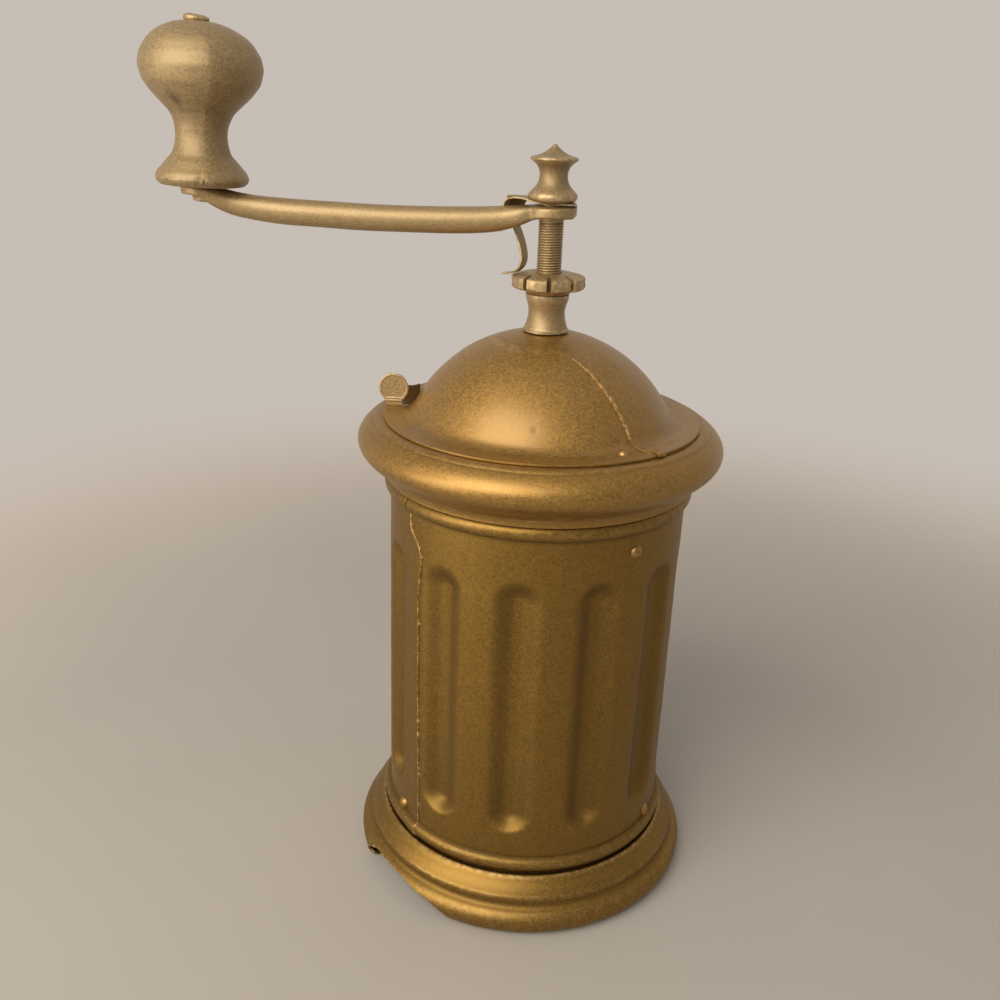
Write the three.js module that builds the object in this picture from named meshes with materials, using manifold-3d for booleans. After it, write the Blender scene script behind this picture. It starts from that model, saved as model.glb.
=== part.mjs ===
// A column coffee mill: a fluted sheet-metal column that lifts off a stepped foot with a catch cup,
// a swelling ring and a dome with a turning filling cap, and a crank on a threaded spindle with its
// star-shaped setting nut. The funnel, bracket and burr set that it holds inside are here too.
// Millimetres, +Z up. The origin is on the spindle's axis at the underside of the foot. Angles round
// the axis are counted in degrees from the front (-Y) and grow towards +X.

import * as THREE from "three";
import { mergeVertices } from "three/addons/utils/BufferGeometryUtils.js";
import Module from "manifold-3d";

const wasm = await Module();
wasm.setup();

// Main sizes
const footHeight = 17; // floor to the joint that shows under the column
const columnHeight = 115; // that joint to the column's top edge
const ringHeight = 17.2; // column's top edge to the land that carries the dome
const columnRadius = 45; // outside of the column between two flutes
const footRadius = 54.7; // widest place of the foot
const domeRadius = 42.9; // sphere that the fixed dome follows
const ringOverhang = 7.6; // dome's flange to the widest place of the ring
const domeDrop = 17; // centre of that sphere below the land
const crankThrow = 98.75; // spindle's axis to the knob's foot
const armRise = 21.1; // top of the neck to the underside of the crank's eye

// Sheet and clearances
const columnSheet = 0.7;
const pressedSheet = 0.8;
const domeSheet = 0.6;
const capSheet = 0.45;
const looseGap = 0.3; // between pieces that come apart
const seatGap = 0.15; // between pieces that rest on each other
const capGap = 0.25; // between the dome and the cap that turns on it
const runningGap = 0.1; // between a shaft and its bore
const facetGap = 0.1; // more room between two round pieces with other facets
const past = 5; // how far a cutting tool passes what it cuts

// Fluted column
const fluteCount = 12;
const fluteWidth = 13;
const fluteDepth = 2.3;
const fluteTurn = -6.3; // angle of the flute next to the front
const seatDepth = 1.8; // joint to the shelf in the foot that the column stands on
const fluteFloor = 14; // joint to the lower end of a flute
const fluteRoof = 17.4; // upper end of a flute to the column's top edge
const beadHeight = 1.8; // how far a bead stands out
const beadHalf = 1.9; // half of a bead's width
const lowBead = 3; // joint to the middle of the lower bead
const highBead = 2.5; // middle of the upper bead to the column's top edge

// Rivets of the column
const rivetHeadRadius = 2;
const rivetHeadHeight = 1.3;
const rivetShankRadius = 1.2;
const socketRivetHeight = 7.1; // joint to the lower rivets
const socketRivetTurns = [-57, 63, 183];
const bracketRivetDrop = 10.6; // column's top edge to the upper rivets
const bracketRivetTurns = [39.3, 150, 260];
const closingHead = 0.7; // height of a rivet's inner head

// Foot, catch cup and socket
const rollRadius = 4.5; // roll round the foot's lower edge
const notchTurn = -52; // middle of the finger notch in the roll
const notchWidth = 24; // in degrees
const notchHeight = 9.2;
const rollStart = 60; // angle at which the roll leaves the shoulder
const cupInset = 3.8; // column's outside to the cup's
const cupHeight = 58;
const cupCorner = 2.5;
const sleeveRise = 1.5; // column's lower edge to the sleeve's
const sleeveHeight = 9.8; // straight part of the sleeve that guides the column over the cup
const sleeveNeck = 3.5; // its part that is drawn in to the cup

// Ring
const ringSwell = 11; // half height of the oval that the ring's side follows
const ringReach = 28.4; // half width of that oval
const ringDrop = 6.7; // middle of that oval below the land
const collarGap = 1.6; // column's outside to the outside of the ring's collar
const landLip = 3.4; // how far the ring's land passes under the dome
const landRim = 0.6; // how far it shows outside the dome's flange
const landSupport = 1.7; // edge of that flange to the funnel's wall under the land
const grooveInset = 4.3; // ring's widest place to the fold round its land
const grooveDrop = 0.5; // how far the land dips in that fold
const spoutHeight = 2; // upright lip round the funnel's hole
const spoutGap = 0.5; // how much wider that hole is than the ring burr

// Dome, cap and neck
const flangeReach = 4.2; // how far the dome's flange passes its sphere
const domeFillet = 1; // rounding between the dome and its flange
const neckBore = 4.9; // hole in the dome for the neck
const neckFootRadius = 6.6; // part of the neck that the cap turns on
const capStart = 40; // where the cap's straight edge meets its flange
const capOffset = 9.2; // that edge's distance from the axis
const capEye = 13.4; // round part of the cap about the neck
const capEnd = 270; // end of the cap's flange, with the tab
const capTaper = 6; // degrees over which the flange's other end runs out
const hatchStart = 50; // filling hole in the dome
const hatchEnd = 140;
const hatchInner = 15.5;
const hatchMargin = 2.55; // hatch to the foot of the dome
const tabRadius = 4.35;
const tabHeight = 5.3; // cap's flange to the middle of the tab
const tabInset = 2.3; // flange's edge to the middle of the tab
const tabSheet = 0.8;
const stemWidth = 4.8;
const stopTurn = 33; // rivet that the cap and its tab stop at
const stopOffset = 2.35; // foot of the dome to that rivet
const stopRadius = 1.6;
const stopShank = 1.1;
const stopHeight = 1;
const clawTurn = 46.5; // claw that holds the cap's flange down
const clawWidth = 4; // in degrees
const clawGap = 0.3;
const clawSheet = 0.6;
const neckHeight = 10.8;
const neckWaist = 5.3;
const neckSpigot = 5; // part of the neck inside the dome

// Spindle and setting nut
const spindleRadius = 3.6;
const spindleTopRadius = 3; // above the shoulder that the crank sits on
const spindleEndRadius = 2.9; // below the shoulder that the cone burr sits under
const spindleTail = 1.5; // how far it passes the nut under the cone burr
const spindleGrip = 6; // how far the finial screws down over it
const nutRadius = 10.6;
const nutHeight = 5.8;
const nutHub = 7.2; // radius of the nut's underside
const lugCount = 9;
const lugSlotWidth = 1.6;
const lugSlotDepth = 3;
const lugTurn = 1.5; // angle of the first slot between two lugs

// Crank
const eyeRadius = 7;
const eyeThickness = 3.3;
const barRadius = 3.5;
const barDip = 2.2; // eye's top to the bar's top where it is lowest
const barRise = 1.9; // how far the bar climbs again towards the knob
const knobStep = 1.7; // eye's top to the knob's foot
const armEndThickness = 2.1; // flattened end under the knob
const clipSheet = 0.4;
const clipWidth = 4;
const clipLean = 22; // the leaf's lean towards the front, in degrees
const clipTurn = 27; // the leaf's turn round the upright
const clipReach = 10.4; // axis to the top of the leaf
const clipBow = 1.9; // how high the strap bows up
const finialHeight = 15.8;
const knobTilt = 1.7; // how far the knob leans towards the spindle
const knobHeight = 41.8;
const knobRadius = 17.35;
const pinRadius = 2;
const pinHeadRadius = 3.3;
const pinHeadHeight = 2;

// Burr set
const burrTop = 16; // column's top edge to the bracket's plate
const plateThickness = 1.2;
const burrHeight = 19;
const burrOuterRadius = 23;
const plateRim = 4; // how far the bracket's plate passes the ring burr
const burrTeeth = 12;
const toothDepth = 1.6;
const coneTopRadius = 8.5;
const coneFootRadius = 17;
const throatGap = 7; // cone burr's top to the edge of the plate's hole
const grindGap = 0.6; // between the teeth at the foot
const feedGap = 3; // how much wider the gap is at the top
const toothLean = 50; // how far a tooth turns over the cone's height
const bridgeWidth = 9;
const bridgeThickness = 2;
const hubRadius = 6.8;
const bridgeHub = 2; // how far its hub stands up round the spindle
const bridgeReach = 19; // axis to the bridge's screws
const washerRadius = 8;
const washerThickness = 1.2;
const burrNutRadius = 5.8;
const burrNutHeight = 4.5;
const screwRadius = 1.5;
const screwHoleGap = 0.2;
const screwLength = 9;
const screwHead = 1.3;
const bracketArmWidth = 8;
const bracketTabRise = 4.5; // upper rivets to the top of the arms' upturned ends

// Facets
const roundSides = 32;
const innerSides = 30;
const smallSides = 20;
const tinySides = 8;

// Heights that follow from the sizes
const cupRadius = columnRadius - cupInset;
const collarRadius = columnRadius + collarGap;
const flangeRadius = domeRadius + flangeReach;
const ringRadius = flangeRadius + ringOverhang;
const shelfTop = footHeight - seatDepth;
const columnFloor = shelfTop + seatGap;
const columnTop = footHeight + columnHeight;
const landTop = columnTop + ringHeight;
const flangeTop = landTop + seatGap + domeSheet;
const domeCentre = landTop - domeDrop;
const domeFootRing = Math.sqrt(domeRadius ** 2 - (flangeTop - domeCentre) ** 2);
const hatchOuter = domeFootRing - hatchMargin;
const stopReach = domeFootRing + stopOffset;
const tabReach = flangeRadius - tabInset;
const neckFoot = domeCentre + Math.sqrt(domeRadius ** 2 - neckBore ** 2) + seatGap;
const neckTop = neckFoot + neckHeight;
const nutFoot = neckTop + seatGap;
const nutTop = nutFoot + nutHeight;
const eyeFoot = neckTop + armRise;
const eyeTop = eyeFoot + eyeThickness;
const clipFoot = eyeTop + seatGap / 3;
const finialFoot = clipFoot + clipSheet + seatGap / 3;
const knobFoot = eyeTop + knobStep;
const plateFoot = columnTop - burrTop;
const burrFloor = plateFoot - seatGap - burrHeight;
const fluteTop = columnTop - fluteRoof;
const fluteBottom = footHeight + fluteFloor;

// Colours: gold paint over everything outside, plain iron and tin inside
const paints = {
  gold: { color: 0xb08a3e, roughness: 0.42, metalness: 0.75 },
  iron: { color: 0x4a4744, roughness: 0.55, metalness: 0.85 },
  steel: { color: 0x8f8d88, roughness: 0.4, metalness: 0.9 },
  tin: { color: 0xa9a69c, roughness: 0.45, metalness: 0.8 },
};

const mill = new THREE.Group();

// Adds a named piece in one of the finishes.
function add(name, shape, paint, parent = mill) {
  const geometry = shape.isBufferGeometry ? shape : toGeometry(shape);
  const mesh = new THREE.Mesh(geometry, new THREE.MeshStandardMaterial(paints[paint]));
  mesh.name = name;
  parent.add(mesh);
  return mesh;
}

// Turns a closed geometry into a solid that can be cut or joined.
function toSolid(geometry) {
  const bare = geometry.clone();
  bare.deleteAttribute("normal");
  bare.deleteAttribute("uv");
  const merged = mergeVertices(bare, 1e-4);
  return new wasm.Manifold(
    new wasm.Mesh({
      numProp: 3,
      vertProperties: Float32Array.from(merged.attributes.position.array),
      triVerts: Uint32Array.from(merged.index.array),
    }),
  );
}

// Turns a solid back into a geometry.
function toGeometry(solid) {
  const mesh = solid.getMesh();
  const geometry = new THREE.BufferGeometry();
  geometry.setAttribute("position", new THREE.BufferAttribute(mesh.vertProperties, 3));
  geometry.setIndex(new THREE.BufferAttribute(mesh.triVerts, 1));
  return geometry;
}

// Cuts each of the tools from the solid.
function cut(solid, tools) {
  return tools.reduce((rest, tool) => rest.subtract(tool), solid);
}

// Turns an outline of [radius, height] points round the axis. The outline closes on itself or
// starts and ends on the axis.
function revolve(outline, sides = roundSides) {
  const points = outline.map(([r, z]) => new THREE.Vector2(r, z));
  if (THREE.ShapeUtils.area(points) < 0) points.reverse();
  const onAxis = points[0].x === 0 && points.at(-1).x === 0;
  if (!onAxis) points.push(points[0].clone());
  return toSolid(new THREE.LatheGeometry(points, sides).rotateX(Math.PI / 2));
}

// Moves an open path of points sideways: outwards where the path runs from the axis down the side.
function offsetPath(path, distance) {
  const normals = path.slice(1).map(([r, z], i) => {
    const [dr, dz] = [r - path[i][0], z - path[i][1]];
    const length = Math.hypot(dr, dz);
    return [-dz / length, dr / length];
  });
  return path.map(([r, z], i) => {
    const before = normals[Math.max(i - 1, 0)];
    const after = normals[Math.min(i, normals.length - 1)];
    const share = distance / (1 + before[0] * after[0] + before[1] * after[1]);
    return [r + (before[0] + after[0]) * share, z + (before[1] + after[1]) * share];
  });
}

// The outline of a sheet between two offsets of one path.
function sheet(path, inner, outer) {
  return [...offsetPath(path, outer), ...offsetPath(path, inner).reverse()];
}

// Points of an arc in a section; angles in degrees, 0 outwards and 90 up.
function arc(r, z, radius, from, to, steps) {
  return Array.from({ length: steps + 1 }, (_, i) => {
    const angle = THREE.MathUtils.degToRad(from + ((to - from) * i) / steps);
    return [r + radius * Math.cos(angle), z + radius * Math.sin(angle)];
  });
}

// A point at a radius and an angle from the front, seen from above.
function around(radius, degrees) {
  const angle = THREE.MathUtils.degToRad(degrees);
  return new THREE.Vector2(radius * Math.sin(angle), -radius * Math.cos(angle));
}

// An upright prism over a plan outline.
function prism(outline, floor, roof) {
  const geometry = new THREE.ExtrudeGeometry(new THREE.Shape(outline), {
    depth: roof - floor,
    bevelEnabled: false,
  });
  return toSolid(geometry.translate(0, 0, floor));
}

// A part of a ring between two radii and two angles, as a plan outline.
function sector(inner, outer, from, to, step = 6) {
  const count = Math.max(2, Math.ceil((to - from) / step));
  const angles = Array.from({ length: count + 1 }, (_, i) => from + ((to - from) * i) / count);
  const outside = angles.map((angle) => around(outer, angle));
  const inside = inner > 0 ? angles.map((angle) => around(inner, angle)) : [around(0, 0)];
  return [...outside, ...inside.reverse()];
}

// A round bar along an axis: "z" is upright, "y" runs front to back.
function bar(radius, from, to, axis = "z", sides = smallSides) {
  const geometry = new THREE.CylinderGeometry(radius, radius, to - from, sides);
  if (axis === "z") geometry.rotateX(Math.PI / 2).translate(0, 0, (from + to) / 2);
  else geometry.translate(0, (from + to) / 2, 0);
  return toSolid(geometry);
}

// A block with its middle at the given place.
function block(sizeX, sizeY, sizeZ, x, y, z) {
  return toSolid(new THREE.BoxGeometry(sizeX, sizeY, sizeZ).translate(x, y, z));
}

// Turns a solid by an angle round the upright axis.
function turned(solid, degrees) {
  return solid.rotate([0, 0, degrees]);
}

// The angles of equal copies round the axis.
function angles(count, start) {
  return Array.from({ length: count }, (_, i) => start + (360 * i) / count);
}

// Joins rings of points, each to the next and the last to the first, into one closed skin.
function skin(rings) {
  const count = rings[0].length;
  const index = [];
  rings.forEach((ring, i) => {
    const here = i * count;
    const there = ((i + 1) % rings.length) * count;
    for (let j = 0; j < count; j += 1) {
      const k = (j + 1) % count;
      index.push(here + j, here + k, there + k, here + j, there + k, there + j);
    }
  });
  const geometry = new THREE.BufferGeometry().setFromPoints(rings.flat());
  return geometry.setIndex(index);
}

// Joins rings of points into a solid with flat ends. Each ring runs round its middle the same way,
// counter-clockwise as seen from the last.
function loft(rings) {
  const count = rings[0].length;
  const middles = [rings[0], rings.at(-1)].map((ring) =>
    ring.reduce((sum, point) => sum.add(point), new THREE.Vector3()).divideScalar(count),
  );
  const [low, high] = [rings.length * count, rings.length * count + 1];
  const index = [];
  for (let j = 0; j < count; j += 1) {
    const k = (j + 1) % count;
    for (let i = 0; i + 1 < rings.length; i += 1) {
      const [here, there] = [i * count, (i + 1) * count];
      index.push(here + j, here + k, there + k, here + j, there + k, there + j);
    }
    const last = low - count;
    index.push(low, k, j, high, last + j, last + k);
  }
  const geometry = new THREE.BufferGeometry().setFromPoints([...rings.flat(), ...middles]);
  return toSolid(geometry.setIndex(index));
}

// A ring of points on a wavy wall: its radius depends on the angle and the height.
function wavyRing(turns, height, radiusAt) {
  return turns.map((turn) => {
    const place = around(radiusAt(turn, height), turn);
    return new THREE.Vector3(place.x, place.y, height);
  });
}

// Fluted column

// How deep the flutes are at a place, from 0 on the land to 1 on the flute's floor: each flute is a
// trough round an upright line, with half-round ends.
function fluteShare(turn, height) {
  const pitch = 360 / fluteCount;
  const half = fluteWidth / 2;
  const offTurn = turn - fluteTurn - pitch * Math.round((turn - fluteTurn) / pitch);
  const aside = THREE.MathUtils.degToRad(offTurn) * columnRadius;
  const beyond = Math.max(fluteBottom + half - height, height - fluteTop + half, 0);
  const reach = Math.min(Math.hypot(aside, beyond) / half, 1);
  const slope = THREE.MathUtils.clamp((reach - 0.25) / 0.75, 0, 1);
  return (1 + Math.cos(Math.PI * slope)) / 2;
}

// How far a bead stands out at a height.
function beadShare(height, middle) {
  return Math.sqrt(Math.max(0, 1 - ((height - middle) / beadHalf) ** 2));
}

function columnRadiusAt(turn, height) {
  const bead = beadShare(height, footHeight + lowBead) + beadShare(height, columnTop - highBead);
  return columnRadius + beadHeight * bead - fluteDepth * fluteShare(turn, height);
}

// Heights of the column's rings, at given shares of a bead's half width and of a flute's end.
function columnHeights(beadShares, endShares) {
  const bead = (middle) => beadShares.map((share) => middle + share * beadHalf);
  const end = endShares.map((share) => (share * fluteWidth) / 2);
  return [
    columnFloor,
    ...bead(footHeight + lowBead),
    ...end.map((rise) => fluteBottom + rise),
    ...end.map((rise) => fluteTop - rise).reverse(),
    ...bead(columnTop - highBead),
    columnTop,
  ];
}

function makeColumn() {
  const half = THREE.MathUtils.radToDeg(fluteWidth / 2 / columnRadius);
  const across = [-1.15, -0.55, 0, 0.55, 1.15];
  const turns = angles(fluteCount, fluteTurn).flatMap((middle) =>
    across.map((share) => middle + share * half),
  );
  const outside = columnHeights([-1, -0.6, 0.6, 1], [0, 0.4, 1]).map((height) =>
    wavyRing(turns, height, columnRadiusAt),
  );
  const inside = columnHeights([-1, 0, 1], [0, 1]).map((height) =>
    wavyRing(turns, height, (turn, at) => columnRadiusAt(turn, at) - columnSheet),
  );
  const wall = toSolid(skin([...outside, ...inside.reverse()]));
  const low = rivetHoles(socketRivetTurns, footHeight + socketRivetHeight);
  const high = rivetHoles(bracketRivetTurns, columnTop - bracketRivetDrop);
  add("column_body", cut(wall, [...low, ...high]), "gold");
}

// Holes for one row of rivets round the column and what lies inside it.
function rivetHoles(turns, height) {
  const hole = bar(rivetShankRadius + seatGap, -columnRadius - past, -cupRadius, "y", tinySides);
  return turns.map((turn) => turned(hole, turn).translate([0, 0, height]));
}

// A rivet through the column's wall: a domed head outside, a shank and a closing head inside.
function rivet(gripInner) {
  const grip = columnRadius + seatGap - gripInner;
  const outline = [
    [0, rivetHeadHeight],
    [0.7 * rivetHeadRadius, 0.7 * rivetHeadHeight],
    [rivetHeadRadius, 0],
    [rivetShankRadius, 0],
    [rivetShankRadius, -grip],
    [1.6 * rivetShankRadius, -grip],
    [1.4 * rivetShankRadius, -grip - closingHead],
    [0, -grip - closingHead],
  ];
  return revolve(outline, tinySides)
    .rotate([90, 0, 0])
    .translate([0, -columnRadius - seatGap, 0]);
}

function addRivets(name, turns, height, gripInner) {
  turns.forEach((turn, i) => {
    add(`${name}_${i + 1}`, turned(rivet(gripInner), turn).translate([0, 0, height]), "gold");
  });
}

// Foot, catch cup and socket

function makeFoot() {
  const rollMiddle = footRadius - rollRadius;
  const path = [
    [cupRadius + looseGap, shelfTop],
    [columnRadius + 1, shelfTop],
    [columnRadius + 1.6, footHeight - 0.6],
    [columnRadius + 2.8, footHeight - 0.6],
    [columnRadius + 4.8, shelfTop - 0.3],
    [footRadius - 4, footHeight - 4.3],
    [footRadius - 3.5, footHeight - 5.8],
    [footRadius - 3.9, footHeight - 7.2],
    ...arc(rollMiddle, rollRadius, rollRadius, rollStart, -90, 5),
  ];
  const body = revolve(sheet(path, -pressedSheet, 0));
  const notch = sector(
    rollMiddle - rollRadius,
    footRadius + past,
    notchTurn - notchWidth / 2,
    notchTurn + notchWidth / 2,
  );
  add("foot_ring", cut(body, [prism(notch, -past, notchHeight)]), "gold");
}

function makeCup() {
  const path = [
    [cupRadius, cupHeight],
    ...arc(cupRadius - cupCorner, cupCorner, cupCorner, 0, -90, 2),
    [0, 0],
  ];
  add("catch_cup", revolve(sheet(path, -pressedSheet, 0)), "tin");
}

function makeSocket() {
  const outer = columnRadius - columnSheet - looseGap;
  const top = columnFloor + sleeveRise + sleeveHeight;
  const path = [
    [cupRadius + looseGap + pressedSheet, top + sleeveNeck],
    [cupRadius + looseGap + pressedSheet, top + sleeveNeck / 2],
    [outer, top],
    [outer, top - sleeveHeight],
  ];
  const height = footHeight + socketRivetHeight;
  const holes = rivetHoles(socketRivetTurns, height);
  add("socket_sleeve", cut(revolve(sheet(path, -pressedSheet, 0)), holes), "tin");
  addRivets("socket_rivet", socketRivetTurns, height, outer - pressedSheet - looseGap - seatGap);
}

// Ring and funnel

// The angle in the oval at which the ring's side has a radius.
function ovalAngle(radius) {
  return THREE.MathUtils.radToDeg(Math.acos((radius - ringRadius + ringReach) / ringReach));
}

function ringPath() {
  const middle = landTop - ringDrop;
  const grooveRadius = ringRadius - grooveInset;
  const side = arc(0, 0, 1, ovalAngle(grooveRadius), -ovalAngle(collarRadius), 6);
  return [
    [domeRadius - landLip, landTop],
    [flangeRadius + landRim, landTop],
    [grooveRadius - grooveDrop, landTop - grooveDrop],
    ...side.map(([r, z]) => [ringRadius - ringReach + r * ringReach, middle + z * ringSwell]),
    [collarRadius, columnTop - looseGap],
  ];
}

function makeRing() {
  add("top_ring", revolve(sheet(ringPath(), -pressedSheet, 0)), "gold");
}

// The funnel stands on the column's edge, and its wall carries the ring's land.
function makeFunnel() {
  const wall = collarRadius - pressedSheet - looseGap - facetGap;
  const step = columnTop + seatGap;
  const floor = plateFoot + plateThickness + bridgeThickness + 3 * seatGap;
  const path = [
    [flangeRadius - landSupport, landTop - pressedSheet - seatGap],
    [wall, landTop - ringDrop],
    [wall, step],
    [columnRadius - columnSheet - 2 * looseGap, step],
    [burrOuterRadius + 2 * spoutGap, floor + spoutHeight],
    [burrOuterRadius + spoutGap, floor],
  ];
  add("hopper_funnel", revolve(sheet(path, -domeSheet, 0), innerSides), "tin");
}

// Dome, filling cap and neck

// The dome's outer surface from a hole at the top, down the sphere and out along its flange.
function domePath(hole) {
  const from = THREE.MathUtils.radToDeg(Math.acos(hole / domeRadius));
  const foot = flangeTop - domeCentre;
  const to = THREE.MathUtils.radToDeg(Math.asin((foot + domeFillet) / domeRadius));
  return [
    ...arc(0, domeCentre, domeRadius, from, to, 5),
    [domeFootRing + 0.7 * domeFillet, flangeTop],
    [flangeRadius, flangeTop],
  ];
}

function makeDome() {
  const shell = revolve(sheet(domePath(neckBore), -domeSheet, 0));
  const hatch = prism(
    sector(hatchInner, hatchOuter, hatchStart, hatchEnd),
    flangeTop + domeSheet,
    neckTop,
  );
  const stop = around(stopReach, stopTurn);
  const hole = bar(stopShank + seatGap, landTop - past, flangeTop + past, "z", tinySides);
  const bored = cut(shell, [hatch, hole.translate([stop.x, stop.y, 0])]);
  add("hopper_dome", bored, "gold");
}

function makeStopRivet() {
  const foot = landTop + seatGap;
  const seat = flangeTop + seatGap / 2;
  const outline = [
    [0, foot],
    [stopShank, foot],
    [stopShank, seat],
    [stopRadius, seat],
    [0.7 * stopRadius, seat + 0.75 * stopHeight],
    [0, seat + stopHeight],
  ];
  const place = around(stopReach, stopTurn);
  add("stop_rivet", revolve(outline, tinySides).translate([place.x, place.y, 0]), "gold");
}

// The lollipop tab stands on the cap's end: its plate runs outwards from the axis.
function tabPlate(floor) {
  const disc = bar(tabRadius, -tabSheet, 0, "y");
  const place = [-tabReach, tabSheet, floor + tabHeight];
  const stemFoot = tabReach - 2;
  const stem = new THREE.Shape([
    new THREE.Vector2(-stemFoot - stemWidth / 2, 0),
    new THREE.Vector2(-stemFoot + stemWidth / 2, 0),
    new THREE.Vector2(-tabReach + stemWidth / 2, tabHeight),
    new THREE.Vector2(-tabReach - stemWidth / 2, tabHeight),
  ]);
  const plate = new THREE.ExtrudeGeometry(stem, { depth: tabSheet, bevelEnabled: false });
  plate.rotateX(Math.PI / 2).translate(0, tabSheet, floor);
  return disc.translate(place).add(toSolid(plate));
}

// The cap's outline in plan: a straight edge that passes before the neck, a round eye about the
// neck, and a flange that runs on past the edge's far end to the tab.
function capOutline() {
  const edge = domeFootRing + domeFillet / 2;
  const acrossHalf = (radius) => THREE.MathUtils.radToDeg(Math.acos(capOffset / radius));
  const middle = capStart - acrossHalf(edge);
  const farEnd = middle - acrossHalf(edge) + 360;
  const eyeTurns = [0, 0.25, 0.5, 0.75, 1].map(
    (share) => middle + acrossHalf(capEye) * (2 * share - 1),
  );
  const rim = sector(0, ringRadius + past, capStart + capTaper, capEnd).slice(0, -1);
  return [
    ...rim,
    around(edge, capEnd),
    around(edge, (capEnd + farEnd) / 2),
    around(edge, farEnd),
    ...eyeTurns.map((turn) => around(capEye, turn)),
    around(edge, capStart),
  ];
}

// The cap is a second sheet over the dome. A claw bent down over the dome's flange holds it.
function makeCap() {
  const path = domePath(neckFootRadius + runningGap / 2);
  const shell = revolve(sheet(path, capGap, capGap + capSheet));
  const floor = flangeTop + capGap;
  const clawInside = flangeRadius + clawGap;
  const clawPlan = (inner) =>
    sector(inner, clawInside + clawSheet, clawTurn, clawTurn + clawWidth, clawWidth / 2);
  const claw = prism(clawPlan(flangeRadius - clawGap), floor, floor + capSheet);
  const hook = prism(clawPlan(clawInside), landTop + seatGap, floor + capSheet);
  const cap = shell.intersect(prism(capOutline(), landTop - past, neckTop));
  add("filling_cap", cap.add(tabPlate(floor)).add(claw).add(hook), "gold");
}

function makeNeck() {
  const spigot = neckBore - looseGap;
  const bore = spindleRadius + runningGap;
  const outline = [
    [bore, neckFoot - neckSpigot],
    [spigot, neckFoot - neckSpigot],
    [spigot, neckFoot],
    [neckFootRadius, neckFoot],
    [neckFootRadius, neckFoot + 0.6],
    [neckFootRadius - 0.8, neckFoot + 0.22 * neckHeight],
    [neckWaist, neckFoot + 0.45 * neckHeight],
    [neckWaist, neckFoot + 0.65 * neckHeight],
    [neckWaist + 0.4, neckFoot + 0.85 * neckHeight],
    [neckFootRadius + 0.1, neckTop],
    [bore, neckTop],
  ];
  add("neck_bearing", revolve(outline, smallSides), "gold");
}

// Spindle and setting nut

function makeSpindle() {
  const lowShoulder = burrFloor + burrHeight + seatGap;
  const highShoulder = eyeFoot - seatGap;
  const foot = burrFloor - washerThickness - burrNutHeight - 3 * seatGap - spindleTail;
  const outline = [
    [0, foot],
    [spindleEndRadius, foot],
    [spindleEndRadius, lowShoulder],
    [spindleRadius, lowShoulder],
    [spindleRadius, highShoulder],
    [spindleTopRadius, highShoulder],
    [spindleTopRadius, finialFoot + spindleGrip],
    [0, finialFoot + spindleGrip],
  ];
  add("spindle", revolve(outline, smallSides), "gold");
}

function makeNut() {
  const bore = spindleRadius + runningGap;
  const outline = [
    [bore, nutFoot],
    [nutHub, nutFoot],
    [nutHub + 0.4, nutFoot + 1],
    [nutRadius - 0.5, nutFoot + 1.8],
    [nutRadius, nutFoot + 2.4],
    [nutRadius, nutTop - 1.6],
    [nutRadius - 0.6, nutTop - 1],
    [bore + 2, nutTop],
    [bore, nutTop],
  ];
  const body = revolve(outline, 3 * lugCount);
  const middle = -nutRadius + (lugSlotDepth - past) / 2;
  const slotLength = lugSlotDepth + past;
  const slot = block(lugSlotWidth, slotLength, 2 * nutHeight, 0, middle, nutFoot + nutHeight / 2);
  const slots = angles(lugCount, lugTurn).map((turn) => turned(slot, turn));
  add("star_nut", cut(body, slots), "gold");
}

// Crank, clip, finial and knob

// Stations of the arm from the spindle outwards: distance, top, half height, half width, squareness.
function armStations() {
  const plateTop = knobFoot - looseGap;
  const eyeHalf = eyeThickness / 2;
  const endHalf = armEndThickness / 2;
  const plateStart = crankThrow - pinRadius - 1;
  const lean = Math.tan(THREE.MathUtils.degToRad(knobTilt));
  const endTop = (distance) => plateTop + lean * (distance - crankThrow);
  const barTop = (distance) => {
    const share = (distance - 0.5 * crankThrow) / (0.38 * crankThrow);
    return eyeTop - barDip + barRise * share ** 2;
  };
  const round = [0.145, 0.25, 0.42, 0.6, 0.78, 0.87].map((share) => {
    const distance = share * crankThrow;
    return [distance, Math.min(barTop(distance), eyeTop - 0.5), barRadius, barRadius, 2];
  });
  return [
    [-eyeRadius, eyeTop, eyeHalf * 0.8, 1.6, 5],
    [-0.82 * eyeRadius, eyeTop, eyeHalf, 0.58 * eyeRadius, 5],
    [-0.45 * eyeRadius, eyeTop, eyeHalf, 0.9 * eyeRadius, 5],
    [0, eyeTop, eyeHalf, eyeRadius, 5],
    [0.6 * eyeRadius, eyeTop, eyeHalf, 0.8 * eyeRadius, 5],
    [0.85 * eyeRadius, eyeTop - 0.1, eyeHalf + 0.4, 0.7 * eyeRadius, 3.2],
    [1.35 * eyeRadius, eyeTop - 0.3, barRadius * 0.78, barRadius * 1.12, 2.3],
    ...round,
    [0.915 * crankThrow, endTop(0.915 * crankThrow), barRadius * 0.88, barRadius * 1.1, 2.4],
    [0.94 * crankThrow, endTop(0.94 * crankThrow), endHalf + 1.1, 1.2 * barRadius, 3],
    [plateStart, endTop(plateStart), endHalf, 1.4 * barRadius, 4],
    [crankThrow, endTop(crankThrow), endHalf, 1.55 * barRadius, 5],
    [crankThrow + 0.8 * barRadius, endTop(crankThrow + 3), endHalf, 1.35 * barRadius, 5],
    [crankThrow + 1.55 * barRadius, endTop(crankThrow + 5), endHalf, 0.45 * barRadius, 5],
  ];
}

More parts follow.
